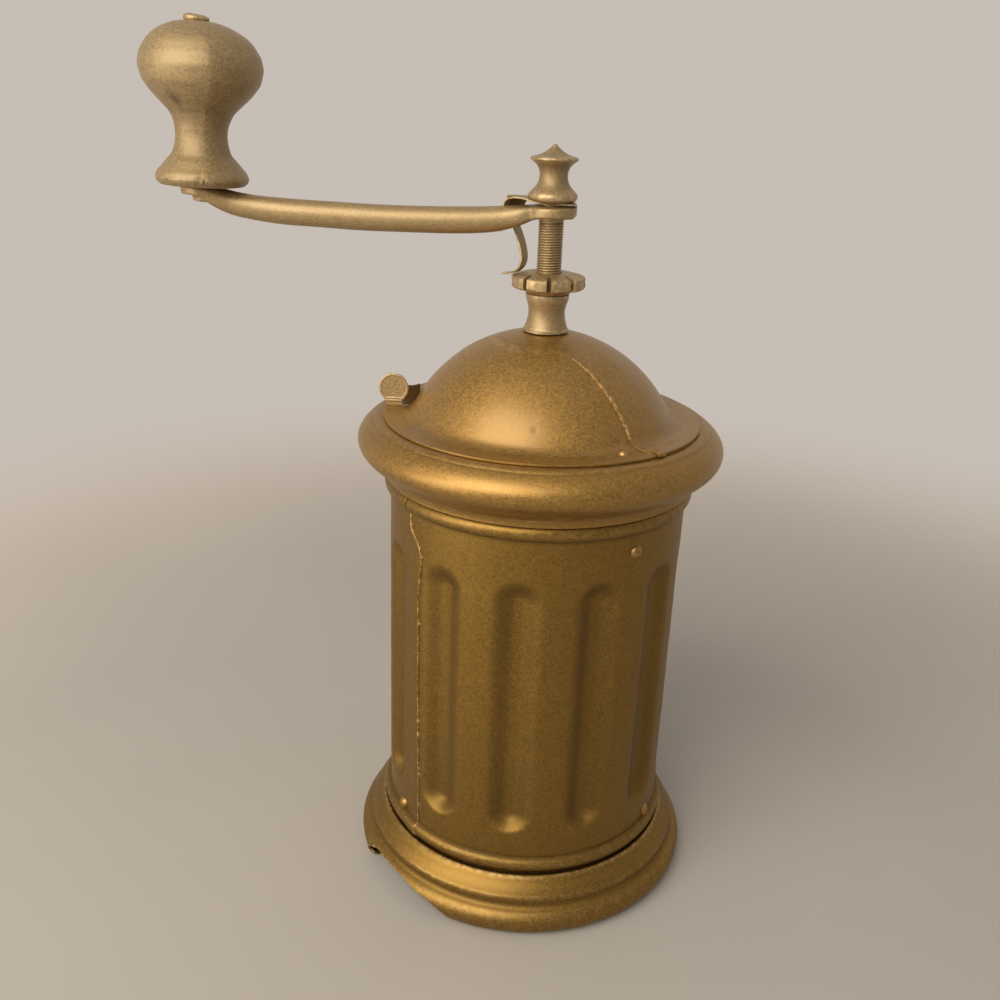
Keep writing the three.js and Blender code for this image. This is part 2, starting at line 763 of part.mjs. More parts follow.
// Cross-sections of the arm, each rounded between a bar and a flat plate.
function armSections(sides) {
  return armStations().map(([distance, top, halfHeight, halfWidth, squareness]) =>
    Array.from({ length: sides }, (_, i) => {
      const angle = (2 * Math.PI * (i + 0.5)) / sides;
      const [c, s] = [Math.cos(angle), Math.sin(angle)];
      const y = halfWidth * Math.sign(c) * Math.abs(c) ** (2 / squareness);
      const z = top - halfHeight + halfHeight * Math.sign(s) * Math.abs(s) ** (2 / squareness);
      return new THREE.Vector3(-distance, -y, z);
    }),
  );
}

function makeArm() {
  const eye = bar(spindleTopRadius + runningGap, eyeFoot - past, eyeTop + past);
  const pin = bar(pinRadius + runningGap, knobFoot - 2 * past, knobFoot + past);
  const arm = cut(loft(armSections(12)), [eye, pin.translate([-crankThrow, 0, 0])]);
  add("crank_arm", arm, "gold");
}

// A strip of sheet along a route seen from the front, as wide as given. Its thickness lies on the
// route's right, which is above a route that runs to the left.
function strip(route, thickness, width) {
  const outline = sheet(route, -thickness, 0).map(([x, z]) => new THREE.Vector2(x, z));
  const geometry = new THREE.ExtrudeGeometry(new THREE.Shape(outline), {
    depth: width,
    bevelEnabled: false,
  });
  return toSolid(geometry.rotateX(Math.PI / 2).translate(0, width / 2, 0));
}

// The click spring's eye is held between the crank's eye and the finial. Its strap bows up over the
// arm, and its leaf comes down behind the arm to the setting nut, where its tail clicks over the slots.
function makeClickSpring() {
  const ring = bar(eyeRadius - 0.8, clipFoot, clipFoot + clipSheet).subtract(
    bar(spindleTopRadius + runningGap, clipFoot - past, clipFoot + past),
  );
  const behind = barRadius + 1 + clipWidth / 2;
  const bow = strip(
    [
      [-3.2, clipFoot],
      [-eyeRadius - 0.2, clipFoot],
      [-clipReach + 1.1, clipFoot + clipBow],
      [-clipReach - 1.9, clipFoot + 0.6 * clipBow],
    ],
    clipSheet,
    4 * clipWidth,
  );
  const strap = new THREE.Shape([
    new THREE.Vector2(-3, -3.5),
    new THREE.Vector2(-clipReach - 2.6, behind - clipWidth / 2 - 1),
    new THREE.Vector2(-clipReach - 2.6, behind + clipWidth / 2),
    new THREE.Vector2(-clipReach + 2.4, behind + clipWidth / 2),
    new THREE.Vector2(-3, 4.5),
  ]);
  const strapPrism = toSolid(
    new THREE.ExtrudeGeometry(strap, { depth: past, bevelEnabled: false }).translate(0, 0, clipFoot),
  );
  const drop = (nutTop - clipFoot) / Math.cos(THREE.MathUtils.degToRad(clipLean));
  const leaf = strip(
    [
      [2, 1.3],
      [-0.8, 1.5],
      [-2, 0.4],
      [-1.6, 0.2 * drop],
      [1.4, 0.55 * drop],
      [1.7, 0.75 * drop],
      [1, 0.9 * drop],
      [-0.6, drop + 0.2],
      [-3.6, drop],
    ],
    clipSheet + 0.2,
    clipWidth,
  );
  const top = [-clipReach, behind + looseGap, clipFoot];
  const placed = leaf.rotate([-clipLean, 0, -clipTurn]).translate(top);
  add("click_spring", ring.add(bow.intersect(strapPrism)).add(placed), "gold");
}

function makeFinial() {
  const bore = spindleTopRadius + runningGap;
  const depth = spindleGrip + looseGap;
  const side = [
    [0.92, 0],
    [1.02, 0.1],
    [0.97, 0.165],
    [0.82, 0.235],
    [0.61, 0.37],
    [0.585, 0.5],
    [0.67, 0.615],
    [0.97, 0.71],
    [1, 0.74],
    [0.9, 0.785],
    [0.52, 0.842],
    [0.27, 0.905],
  ];
  const outline = [
    [0, finialFoot + depth],
    [bore, finialFoot + depth],
    [bore, finialFoot],
    ...side.map(([share, rise]) => [share * (eyeRadius - 0.3), finialFoot + rise * finialHeight]),
    [0, finialFoot + finialHeight],
  ];
  add("finial_nut", revolve(outline, smallSides), "gold");
}

// The knob and its pin share a group that leans with the end of the arm.
function makeKnob() {
  const leaning = new THREE.Group();
  leaning.position.set(-crankThrow, 0, knobFoot);
  leaning.rotation.y = THREE.MathUtils.degToRad(knobTilt);
  mill.add(leaning);
  const side = [
    [0.669, 0],
    [0.738, 0.045],
    [0.715, 0.075],
    [0.634, 0.115],
    [0.553, 0.156],
    [0.473, 0.194],
    [0.422, 0.275],
    [0.424, 0.349],
    [0.484, 0.419],
    [0.622, 0.49],
    [0.807, 0.565],
    [0.91, 0.62],
    [0.974, 0.677],
    [1, 0.739],
    [0.963, 0.806],
    [0.85, 0.873],
    [0.628, 0.94],
    [0.25, 0.993],
  ];
  const bore = pinRadius + runningGap;
  const outline = [
    [bore, 0],
    ...side.map(([share, rise]) => [share * knobRadius, rise * knobHeight]),
    [bore, knobHeight],
  ];
  add("knob", revolve(outline, smallSides), "gold", leaning);
  const headFoot = knobHeight + seatGap;
  const tailTop = -looseGap - armEndThickness - seatGap;
  const pin = [
    [0, tailTop - 1],
    [pinRadius - 0.3, tailTop - 1],
    [pinRadius + 0.5, tailTop - 0.2],
    [pinRadius + 0.5, tailTop],
    [pinRadius, tailTop],
    [pinRadius, headFoot],
    [pinHeadRadius, headFoot],
    [pinHeadRadius, headFoot + pinHeadHeight - 0.5],
    [pinHeadRadius - 0.6, headFoot + pinHeadHeight],
    [0, headFoot + pinHeadHeight],
  ];
  add("knob_pin", revolve(pin, smallSides), "gold", leaning);
}

// Bracket and burr set

// A plate under the funnel with three arms whose ends turn up against the column's wall.
function makeBracket() {
  const roof = plateFoot + plateThickness;
  const wall = columnRadius - columnSheet - looseGap;
  const height = columnTop - bracketRivetDrop;
  const tabTop = height + bracketTabRise;
  const plate = bar(burrOuterRadius + plateRim, plateFoot, roof, "z", roundSides).subtract(
    bar(coneTopRadius + throatGap, plateFoot - past, roof + past),
  );
  const armLength = wall - burrOuterRadius;
  const middle = -burrOuterRadius - armLength / 2;
  const arm = block(bracketArmWidth, armLength, tabTop - plateFoot, 0, middle, (tabTop + plateFoot) / 2);
  const inside = wall - plateThickness;
  const clear = bar(inside, roof, tabTop + past, "z", roundSides);
  const shape = arm.intersect(bar(wall, plateFoot, tabTop, "z", roundSides)).subtract(clear);
  const arms = bracketRivetTurns.map((turn) => turned(shape, turn));
  const spider = arms.reduce((whole, piece) => whole.add(piece), plate);
  const holes = [
    ...screwHoles(plateFoot - past, roof + past),
    ...rivetHoles(bracketRivetTurns, height),
  ];
  add("burr_bracket", cut(spider, holes), "iron");
  addRivets("bracket_rivet", bracketRivetTurns, height, inside - looseGap);
}

// Upright holes for the bridge's screws.
function screwHoles(floor, roof) {
  return [-bridgeReach, bridgeReach].map((x) =>
    bar(screwRadius + screwHoleGap, floor, roof, "z", tinySides).translate([x, 0, 0]),
  );
}

// A cone with saw teeth that lean round the axis as it rises, as a solid without a bore. A positive
// depth stands out from the plain cone and a negative one is cut into it.
function toothedCone(lowRadius, highRadius, depth) {
  const steps = 4;
  const profile = [0, 0.45, 0.9];
  const rings = Array.from({ length: steps + 1 }, (_, i) => {
    const rise = i / steps;
    const plain = lowRadius + (highRadius - lowRadius) * rise;
    return angles(burrTeeth, toothLean * rise).flatMap((tooth) =>
      profile.map((share) => {
        const place = around(plain + depth * share, tooth + (share * 360) / burrTeeth);
        return new THREE.Vector3(place.x, place.y, burrFloor + burrHeight * rise);
      }),
    );
  });
  return loft(rings);
}

function makeBurrs() {
  const top = burrFloor + burrHeight;
  const cone = toothedCone(coneFootRadius - toothDepth, coneTopRadius - toothDepth, toothDepth);
  const bore = bar(spindleEndRadius + runningGap, burrFloor - past, top + past);
  add("cone_burr", cone.subtract(bore), "iron");

  const clear = grindGap + toothDepth;
  const hollow = toothedCone(coneFootRadius + clear, coneTopRadius + clear + feedGap, -toothDepth);
  const shell = bar(burrOuterRadius, burrFloor + seatGap, top - seatGap, "z", innerSides);
  const holes = screwHoles(top - screwLength, top + past);
  add("ring_burr", cut(shell, [hollow, ...holes]), "iron");
}

function makeBridge() {
  const floor = plateFoot + plateThickness + seatGap;
  const roof = floor + bridgeThickness;
  const strap = block(2 * bridgeReach, bridgeWidth, bridgeThickness, 0, 0, (floor + roof) / 2);
  const ends = [-bridgeReach, bridgeReach].map((x) =>
    bar(bridgeWidth / 2, floor, roof).translate([x, 0, 0]),
  );
  const hub = bar(hubRadius, floor, roof + bridgeHub);
  const whole = ends.reduce((joined, end) => joined.add(end), strap.add(hub));
  const bore = bar(spindleRadius + runningGap, floor - past, roof + past);
  add("guide_bridge", cut(whole, [bore, ...screwHoles(floor - past, roof + past)]), "iron");
  const head = roof + seatGap;
  const tip = plateFoot - screwLength + 2;
  const outline = [
    [0, tip],
    [screwRadius, tip],
    [screwRadius, head],
    [1.8 * screwRadius, head],
    [1.5 * screwRadius, head + screwHead],
    [0, head + screwHead],
  ];
  [-bridgeReach, bridgeReach].forEach((x, i) => {
    add(`bridge_screw_${i + 1}`, revolve(outline, tinySides).translate([x, 0, 0]), "steel");
  });
}

function makeSpindleNut() {
  const roof = burrFloor - seatGap;
  const nutRoof = roof - washerThickness - seatGap;
  const nutFloor = nutRoof - burrNutHeight;
  const bore = bar(spindleEndRadius + runningGap, nutFloor - past, roof + past);
  add("burr_washer", bar(washerRadius, roof - washerThickness, roof).subtract(bore), "steel");
  add("burr_nut", bar(burrNutRadius, nutFloor, nutRoof, "z", 6).subtract(bore), "steel");
}

makeFoot();
makeCup();
makeColumn();
makeSocket();
makeRing();
makeFunnel();
makeDome();
makeStopRivet();
makeCap();
makeNeck();
makeSpindle();
makeNut();
makeArm();
makeClickSpring();
makeFinial();
makeKnob();
makeBracket();
makeBurrs();
makeBridge();
makeSpindleNut();

export default mill;
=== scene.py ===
import math
from types import SimpleNamespace

import bmesh
import bpy
import numpy as np
from mathutils import Matrix


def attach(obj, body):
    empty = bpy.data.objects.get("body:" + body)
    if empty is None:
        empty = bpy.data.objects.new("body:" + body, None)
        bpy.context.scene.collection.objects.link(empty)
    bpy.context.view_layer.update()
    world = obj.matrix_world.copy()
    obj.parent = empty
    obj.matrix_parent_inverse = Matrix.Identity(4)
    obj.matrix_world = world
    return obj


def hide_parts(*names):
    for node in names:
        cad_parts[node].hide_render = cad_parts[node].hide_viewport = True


# Looks for a gold-painted column coffee mill. Sizes are millimetres until a mesh is made, +Z is up
# and the spindle's axis is the origin. Angles round it are degrees from the front (-Y), to +X.

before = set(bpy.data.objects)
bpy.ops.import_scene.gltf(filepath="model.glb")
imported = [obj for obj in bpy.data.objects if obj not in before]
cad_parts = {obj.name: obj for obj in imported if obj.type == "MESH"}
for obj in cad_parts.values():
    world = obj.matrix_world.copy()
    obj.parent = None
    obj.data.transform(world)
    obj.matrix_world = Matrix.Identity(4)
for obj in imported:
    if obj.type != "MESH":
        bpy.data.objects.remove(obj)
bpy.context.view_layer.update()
mm = 0.001
rng = np.random.default_rng(11)


def addObject(name, data):
    made = bpy.data.objects.new(name, data)
    bpy.context.scene.collection.objects.link(made)
    return made


def aimed(right, up, back, place):
    # the matrix of an object with these three axes, at a place in metres
    rows = [[right[k], up[k], back[k], place[k]] for k in range(3)]
    return Matrix(rows + [[0, 0, 0, 1]])


cameraValues = dict(
    place=(0, -299.17, 237.78),
    focal=37.206, sensor=36,
    pitch=0.371283,    # radians below the horizon
    yaw=0.037976,
    roll=0.0392,
    nearest=0.01,      # metres
)


def makeCamera(v):
    # the three axes of the view: right, forward and up, pitched, yawed and rolled in that order
    cp, sp = math.cos(v["pitch"]), math.sin(v["pitch"])
    cy, sy = math.cos(v["yaw"]), math.sin(v["yaw"])
    yaw = np.array([[cy, -sy, 0], [sy, cy, 0], [0, 0, 1]])
    right, forward, up = yaw @ [1, 0, 0], yaw @ [0, cp, -sp], yaw @ [0, sp, cp]
    cr, sr = math.cos(v["roll"]), math.sin(v["roll"])
    right, up = cr * right + sr * up, cr * up - sr * right
    camera = addObject("camera", bpy.data.cameras.new("camera"))
    camera.data.lens = v["focal"]
    camera.data.sensor_width = v["sensor"]
    camera.data.clip_start = v["nearest"]
    camera.matrix_world = aimed(right, up, -forward, np.array(v["place"]) * mm)
    bpy.context.scene.camera = camera
    return camera


makeCamera(cameraValues)
bpy.context.scene.view_settings.view_transform = "Standard"
print("camera set")


def clamped(x):
    return np.clip(x, 0, 1)


def eased(x):
    # 0 to 1 with a soft start and a soft end
    x = clamped(x)
    return x ** 2 * (3 - 2 * x)


def bell(x, width):
    # 1 in the middle, fading to either side
    return np.exp(-(x / width) ** 2)


def waves(turn, count, phase=0.0):
    # so many waves in a full turn, with a phase in degrees
    return np.sin(np.radians(turn * count + phase))


def curveThrough(points, step=0.3):
    # a smooth curve through the points: cubic pieces by chord length, tangents from the neighbours
    p = np.asarray(points, float)
    along = np.r_[0, np.cumsum(np.linalg.norm(np.diff(p, axis=0), axis=1))]
    slope = np.gradient(p, along, axis=0)
    t = np.linspace(0, along[-1], max(2, int(math.ceil(along[-1] / step)) + 1))
    i = np.clip(np.searchsorted(along, t, "right") - 1, 0, len(p) - 2)
    h = (along[i + 1] - along[i])[:, None]
    s = (t - along[i])[:, None] / h
    return ((1 + 2 * s) * (1 - s) ** 2 * p[i] + s * (1 - s) ** 2 * h * slope[i]
            + s ** 2 * (3 - 2 * s) * p[i + 1] + s ** 2 * (s - 1) * h * slope[i + 1])


def outlineOf(runs, step=0.3):
    # runs of points, each smooth in itself, with a corner where one run meets the next
    parts = [curveThrough(run, step) for run in runs]
    return np.vstack([parts[0]] + [part[1:] for part in parts[1:]])


def arcPoints(r, z, radius, start, end, count):
    a = np.radians(np.linspace(start, end, count))
    return np.stack([r + radius * np.cos(a), z + radius * np.sin(a)], axis=1)


def turnSteps(count, start=0.0):
    return start + np.arange(count) * 360 / count


def aroundAxis(radius, turn, height):
    # x = r sin(turn), y = -r cos(turn), z = height, for each point of a grid
    a = np.radians(turn)
    return np.stack([radius * np.sin(a), -radius * np.cos(a), height + 0 * a], axis=-1)


def sweep(outline, turns):
    # each point of the outline at each turn
    return aroundAxis(outline[:, :1], np.asarray(turns)[None, :], outline[:, 1:])


def bends(outline, reach=1.6):
    # how hollow and how proud (0 to 1) each point of an outline is, from its turning, as columns
    d = np.gradient(outline, axis=0)
    angle = np.unwrap(np.arctan2(d[:, 1], d[:, 0]))
    along = np.r_[0, np.cumsum(np.linalg.norm(np.diff(outline, axis=0), axis=1))]
    turning = np.gradient(angle, along + np.arange(len(along)) * 1e-9)
    kernel = bell(along[:, None] - along[None, :], reach / 2)
    soft = reach * (kernel @ turning / kernel.sum(1))[:, None]
    return clamped(soft), clamped(-soft)


def placed(grid, turn=0.0, lean=0.0, tilt=0.0, at=(0, 0, 0)):
    # turned about Z, after a lean about X and a tilt about Y, then moved
    (ct, cl, ci), (st, sl, si) = (wave(np.radians([turn, lean, tilt])) for wave in (np.cos, np.sin))
    aboutZ = np.array([[ct, -st, 0], [st, ct, 0], [0, 0, 1]])
    aboutX = np.array([[1, 0, 0], [0, cl, -sl], [0, sl, cl]])
    aboutY = np.array([[ci, 0, si], [0, 1, 0], [-si, 0, ci]])
    return grid @ (aboutZ @ aboutX @ aboutY).T + np.asarray(at, float)


def softNoise(a, b, seed, amount):
    # a slow unevenness: a few sine waves of two coordinates with seeded phases
    pick = np.random.default_rng(seed)
    total = 0 * a
    for k in range(6):
        fa, fb, phase = pick.integers(1, 6), pick.uniform(0.02, 0.16), pick.uniform(0, 6.28)
        total = total + np.sin(np.radians(a) * fa + b * fb * (k + 1) + phase) / (k + 2)
    return amount * total


def sheetWall(points, faces, normals, sheet):
    # the same faces again, moved in by the sheet's thickness and turned over, and a rim along
    # every open edge
    count = len(points)
    edges = np.stack([faces, np.roll(faces, -1, axis=1)], axis=-1).reshape(-1, 2)
    way, back = edges[:, 0] * count + edges[:, 1], edges[:, 1] * count + edges[:, 0]
    free = edges[~np.isin(way, back)]
    rim = np.stack([free[:, 1], free[:, 0], free[:, 0] + count, free[:, 1] + count], axis=1)
    inner = points - normals * sheet
    return np.vstack([points, inner]), np.vstack([faces, faces[:, ::-1] + count, rim])


def gridNormals(grid, closeCols):
    # the cross product of the way down and the way round at each point
    down = np.gradient(grid, axis=0)
    if closeCols:
        along = np.roll(grid, -1, axis=1) - np.roll(grid, 1, axis=1)
    else:
        along = np.gradient(grid, axis=1)
    normal = np.cross(down, along)
    return normal / np.maximum(np.linalg.norm(normal, axis=2, keepdims=True), 1e-9)


def turnedNormals(outline, turns):
    # an outline's own normals, turned with its points
    d = np.gradient(outline, axis=0)
    n = np.stack([-d[:, 1], d[:, 0]], axis=1) / np.linalg.norm(d, axis=1)[:, None]
    return aroundAxis(n[:, :1], np.broadcast_to(turns, (len(n), np.shape(turns)[-1])), n[:, 1:])


# hollow carries painted shade on the painted pieces and dust in the cup; proud also carries a
# painted highlight on some pieces
maskNames = ("hollow", "proud", "scuff", "lines")    # what the paint reads at each point
weldDistance = 2e-6                                  # metres


def makePiece(name, grid, body, material, nodes, masks, closeRows=False, closeCols=True,
              keep=None, sheet=None, normals=None, rim=0.1, crease=38):
    # Quads between the rows and columns of a grid of points. Rows run down the outside and columns
    # with the turn, so that faces point outwards. sheet gives a wall inwards, with a rounded rim.
    rows, cols = grid.shape[:2]
    i, j = np.meshgrid(np.arange(rows if closeRows else rows - 1),
                       np.arange(cols if closeCols else cols - 1), indexing="ij")
    if keep is not None:
        chosen = keep[i, j]
        i, j = i[chosen], j[chosen]
    i, j = i.ravel(), j.ravel()
    ni, nj = (i + 1) % rows, (j + 1) % cols
    points = grid.reshape(-1, 3)
    faces = np.stack([i * cols + j, ni * cols + j, ni * cols + nj, i * cols + nj], axis=1)
    if sheet is not None:
        normals = gridNormals(grid, closeCols) if normals is None else normals
        thickness = np.broadcast_to(sheet, (rows, cols)).reshape(-1, 1)
        points, faces = sheetWall(points, faces, normals.reshape(-1, 3), thickness)
    mesh = bpy.data.meshes.new(name)
    mesh.from_pydata((points * mm).tolist(), [], faces.tolist())
    for maskName in maskNames:
        values = np.broadcast_to(masks.get(maskName, 0.0), (rows, cols)).astype(np.float32).ravel()
        values = np.tile(values, len(points) // len(values))
        mesh.attributes.new(maskName, "FLOAT", "POINT").data.foreach_set("value", values)
    piece = addObject(name, mesh)
    piece.modifiers.new("weld", "WELD").merge_threshold = weldDistance
    if sheet is not None:
        edge = piece.modifiers.new("edge", "BEVEL")
        edge.width = rim * mm
        edge.segments = 2
        edge.limit_method = "ANGLE"
        edge.angle_limit = math.radians(60)
    settle(piece, crease)
    piece.data.materials.clear()
    piece.data.materials.append(material)
    if nodes:
        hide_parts(*([nodes] if isinstance(nodes, str) else nodes))
    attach(piece, body)
    return piece


def settle(piece, crease):
    # puts the modifiers' result into the mesh, drops loose points and marks the sharp edges
    graph = bpy.context.evaluated_depsgraph_get()
    final = bpy.data.meshes.new_from_object(piece.evaluated_get(graph),
                                            preserve_all_data_layers=True, depsgraph=graph)
    piece.modifiers.clear()
    old, piece.data = piece.data, final
    bpy.data.meshes.remove(old)
    used = np.zeros(len(final.vertices), bool)
    corners = np.empty(len(final.loops), np.int32)
    final.loops.foreach_get("vertex_index", corners)
    used[corners] = True
    if not used.all():
        work = bmesh.new()
        work.from_mesh(final)
        loose = [v for v in work.verts if not v.link_faces]
        bmesh.ops.delete(work, geom=loose, context="VERTS")
        work.to_mesh(final)
        work.free()
    final.shade_smooth()
    final.set_sharp_from_angle(angle=math.radians(crease))


def lathe(name, outline, body, material, nodes, sides, uneven, seed):
    # a turned piece, a little out of round; an outline that starts on the axis closes there, any
    # other closes on itself
    turns = turnSteps(sides)
    grid = sweep(outline, turns)
    radius, height = outline[:, :1], outline[:, 1:]
    swell = softNoise(turns[None, :], height, seed, uneven) * clamped(radius / 3)
    grid[..., :2] *= (1 + swell / np.maximum(radius, 1))[..., None]
    # the outline's hollows give the hollow mask: painted shade on the painted pieces, dust in the
    # cup
    hollow, proud = bends(outline)
    return makePiece(name, grid, body, material, nodes, dict(hollow=hollow, proud=proud),
                     closeRows=outline[0, 0] > 1e-6)


def nodeTools(tree):
    # short ways to add shader nodes; a socket that is given is linked, any other value is set
    link = tree.links.new

    def make(kind, **values):
        made = tree.nodes.new("ShaderNode" + kind)
        for key, value in values.items():
            if hasattr(made, key):
                setattr(made, key, value)
            else:
                made.inputs[key].default_value = value
        return made

    def feed(socket, value):
        if isinstance(value, bpy.types.NodeSocket):
            link(value, socket)
        else:
            socket.default_value = value

    def texture(kind, vector, scale, **values):
        made = make(kind, **values)
        feed(made.inputs["Vector"], vector)
        feed(made.inputs["Scale"], scale)
        return made.outputs

    def stretched(vector, scale):
        made = make("Mapping")
        feed(made.inputs["Vector"], vector)
        feed(made.inputs["Scale"], scale)
        return made.outputs["Vector"]

    def calc(operation):
        def result(a, b, clamp=False):
            made = make("Math", operation=operation, use_clamp=clamp)
            feed(made.inputs[0], a)
            feed(made.inputs[1], b)
            return made.outputs[0]
        return result

    def ramp(value, low, high):
        # 0 below low, 1 above high, eased between
        made = make("MapRange", interpolation_type="SMOOTHSTEP")
        for key, given in (("Value", value), ("From Min", low), ("From Max", high)):
            feed(made.inputs[key], given)
        return made.outputs["Result"]

    def mix(factor, a, b, blend="MIX"):
        made = make("Mix", data_type="RGBA", blend_type=blend)
        for k, given in ((0, factor), (6, a), (7, b)):
            feed(made.inputs[k], given)
        return made.outputs[2]

    return SimpleNamespace(make=make, feed=feed, texture=texture, stretched=stretched, ramp=ramp,
                           mix=mix, plus=calc("ADD"), minus=calc("SUBTRACT"),
                           times=calc("MULTIPLY"), most=calc("MAXIMUM"))


def groupOf(name, inputs, outputs):
    tree = bpy.data.node_groups.new(name, "ShaderNodeTree")
    for label, kind, value in inputs:
        socket = tree.interface.new_socket(label, in_out="INPUT", socket_type="NodeSocket" + kind)
        socket.default_value = value
    for label, kind in outputs:
        tree.interface.new_socket(label, in_out="OUTPUT", socket_type="NodeSocket" + kind)
    given, result = tree.nodes.new("NodeGroupInput"), tree.nodes.new("NodeGroupOutput")
    return tree, nodeTools(tree), given.outputs, result.inputs


paintValues = dict(
    hollowShade=0.85, mottleDark=0.04, patchDark=0.07,    # how much of the shade colour each adds; the hollows' share is painted shade
    flakeLeast=0.8, flakeMore=0.42,                      # a flake's brightness
    patchScale=26.0, wornScale=620.0, crackScale=900.0, scratchScale=2300.0,
    crackColour=(0.03, 0.015, 0.008, 1),
    flakeRough=0.14, darkRough=0.22, speckRough=0.2, darkMetal=0.2, speckMetal=0.4,
    softHeight=0.35, speckHeight=0.6, crackHeight=1.6,
)


def sprayedCoat(v):
    # Sprayed metallic paint: fine flakes, soft mottling, painted shade in the hollows, rubbed and
    # paler on proud edges, which some pieces also use for a painted highlight, pale specks with
    # dark cracks where the scuff mask says so, and level pale scratches where the lines mask does.
    tree, n, given, result = groupOf(
        "sprayedCoat",
        [("Gold", "Color", (0.5, 0.29, 0.07, 1)), ("Shade", "Color", (0.12, 0.07, 0.02, 1)),
         ("Pale", "Color", (0.75, 0.6, 0.35, 1)), ("Grain", "Float", 3200.0),
         ("Mottle", "Float", 90.0), ("Rough", "Float", 0.42), ("Wear", "Float", 0.5),
         ("Metal", "Float", 0.9)],
        [("Color", "Color"), ("Roughness", "Float"), ("Metallic", "Float"), ("Height", "Float")])
    spot = n.make("TexCoord").outputs["Object"]
    hollow, proud, scuff, lines = (
        n.make("Attribute", attribute_name=k).outputs["Fac"] for k in maskNames)
    fine = n.texture("TexNoise", spot, given["Grain"], Detail=3.0, Roughness=0.65)["Fac"]
    flakes = n.texture("TexVoronoi", spot, n.times(given["Grain"], 1.15), feature="F1")["Color"]
    soft = n.texture("TexNoise", spot, given["Mottle"],
                     Detail=5.0, Roughness=0.55, Distortion=0.3)["Fac"]
    broad = n.texture("TexNoise", spot, v["patchScale"], Detail=2.0, Roughness=0.5)["Fac"]
    worn = n.texture("TexNoise", spot, v["wornScale"], Detail=6.0, Roughness=0.7)["Fac"]
    cracks = n.texture("TexVoronoi", spot, v["crackScale"], feature="DISTANCE_TO_EDGE")["Distance"]
    level = n.stretched(spot, (0.05, 0.05, 1))
    streaks = n.texture("TexNoise", level, v["scratchScale"], Detail=4.0, Roughness=0.62)["Fac"]
    apart = n.make("SeparateColor")
    n.feed(apart.inputs["Color"], flakes)
    flake = apart.outputs[0]

    # painted shade: the hollow mask darkens the gold towards the shade colour
    dark = n.times(hollow, v["hollowShade"])
    mottle = n.minus(1.0, n.ramp(soft, 0.32, 0.68))
    dark = n.plus(dark, n.times(mottle, v["mottleDark"]))
    patch = n.minus(1.0, n.ramp(broad, 0.35, 0.65))
    dark = n.plus(dark, n.times(patch, v["patchDark"]), clamp=True)
    colour = n.mix(dark, given["Gold"], given["Shade"])
    # each flake is a little lighter or darker than the next
    light = n.plus(n.times(flake, v["flakeMore"]), v["flakeLeast"])
    grey = n.make("CombineColor")
    for k in range(3):
        n.feed(grey.inputs[k], light)
    colour = n.mix(1.0, colour, grey.outputs[0], "MULTIPLY")
    # rubbed paler edges, and a painted highlight where a piece puts one in the proud mask
    edge = n.times(n.times(proud, n.ramp(worn, 0.42, 0.66)), given["Wear"], clamp=True)
    colour = n.mix(edge, colour, given["Pale"])
    crack = n.minus(1.0, n.ramp(cracks, 0.02, 0.12), clamp=True)
    crack = n.times(crack, n.ramp(scuff, 0.45, 0.8))
    speck = n.times(n.ramp(worn, 0.54, 0.62), n.ramp(scuff, 0.3, 0.7))
    speck = n.most(speck, n.times(n.ramp(streaks, 0.6, 0.65), lines))
    colour = n.mix(speck, colour, given["Pale"])
    n.feed(result["Color"], n.mix(crack, colour, v["crackColour"]))

    rough = n.plus(given["Rough"], n.times(flake, v["flakeRough"]))
    rough = n.plus(rough, n.times(dark, v["darkRough"]))
    n.feed(result["Roughness"], n.plus(rough, n.times(speck, v["speckRough"]), clamp=True))
    metal = n.minus(given["Metal"], n.times(dark, v["darkMetal"]))
    n.feed(result["Metallic"], n.minus(metal, n.times(speck, v["speckMetal"]), clamp=True))
    height = n.plus(fine, n.times(soft, v["softHeight"]))
    height = n.plus(height, n.times(speck, v["speckHeight"]))
    n.feed(result["Height"], n.minus(height, n.times(crack, v["crackHeight"])))
    return tree


plainValues = dict(
    dustInHollows=0.6, scratchShow=0.35, scratchColour=(0.75, 0.73, 0.7, 1), fineScale=2400.0,
    stainRough=0.35, scratchRough=0.15, scratchHeight=0.6, fineHeight=0.5,
)


def plainCoat(v):
    # Bare metal inside: a cloudy stain, fine scratches along one way, dust in the hollows.
    tree, n, given, result = groupOf(
        "plainCoat",
        [("Metal", "Color", (0.5, 0.48, 0.44, 1)), ("Stain", "Color", (0.16, 0.11, 0.07, 1)),
         ("Cloud", "Float", 60.0), ("Scratch", "Float", 1500.0), ("Rough", "Float", 0.35)],
        [("Color", "Color"), ("Roughness", "Float"), ("Height", "Float")])
    spot = n.make("TexCoord").outputs["Object"]
    hollow = n.make("Attribute", attribute_name="hollow").outputs["Fac"]
    upright = n.stretched(spot, (1, 1, 0.06))
    scratch = n.texture("TexNoise", upright, given["Scratch"], Detail=4.0, Roughness=0.7)["Fac"]
    cloud = n.texture("TexNoise", spot, given["Cloud"],
                      Detail=6.0, Roughness=0.6, Distortion=0.6)["Fac"]
    fine = n.texture("TexNoise", spot, v["fineScale"], Detail=3.0)["Fac"]
    dust = n.times(hollow, v["dustInHollows"])
    stain = n.plus(n.ramp(cloud, 0.48, 0.72), dust, clamp=True)
    stain = n.times(stain, n.ramp(fine, 0.25, 0.6))
    colour = n.mix(stain, given["Metal"], given["Stain"])
    shown = n.times(n.ramp(scratch, 0.55, 0.75), v["scratchShow"])
    n.feed(result["Color"], n.mix(shown, colour, v["scratchColour"]))
    rough = n.plus(given["Rough"], n.times(stain, v["stainRough"]))
    rough = n.plus(rough, n.times(scratch, v["scratchRough"]), clamp=True)
    n.feed(result["Roughness"], rough)
    n.feed(result["Height"], n.plus(n.times(scratch, v["scratchHeight"]),
                                    n.times(fine, v["fineHeight"])))
    return tree


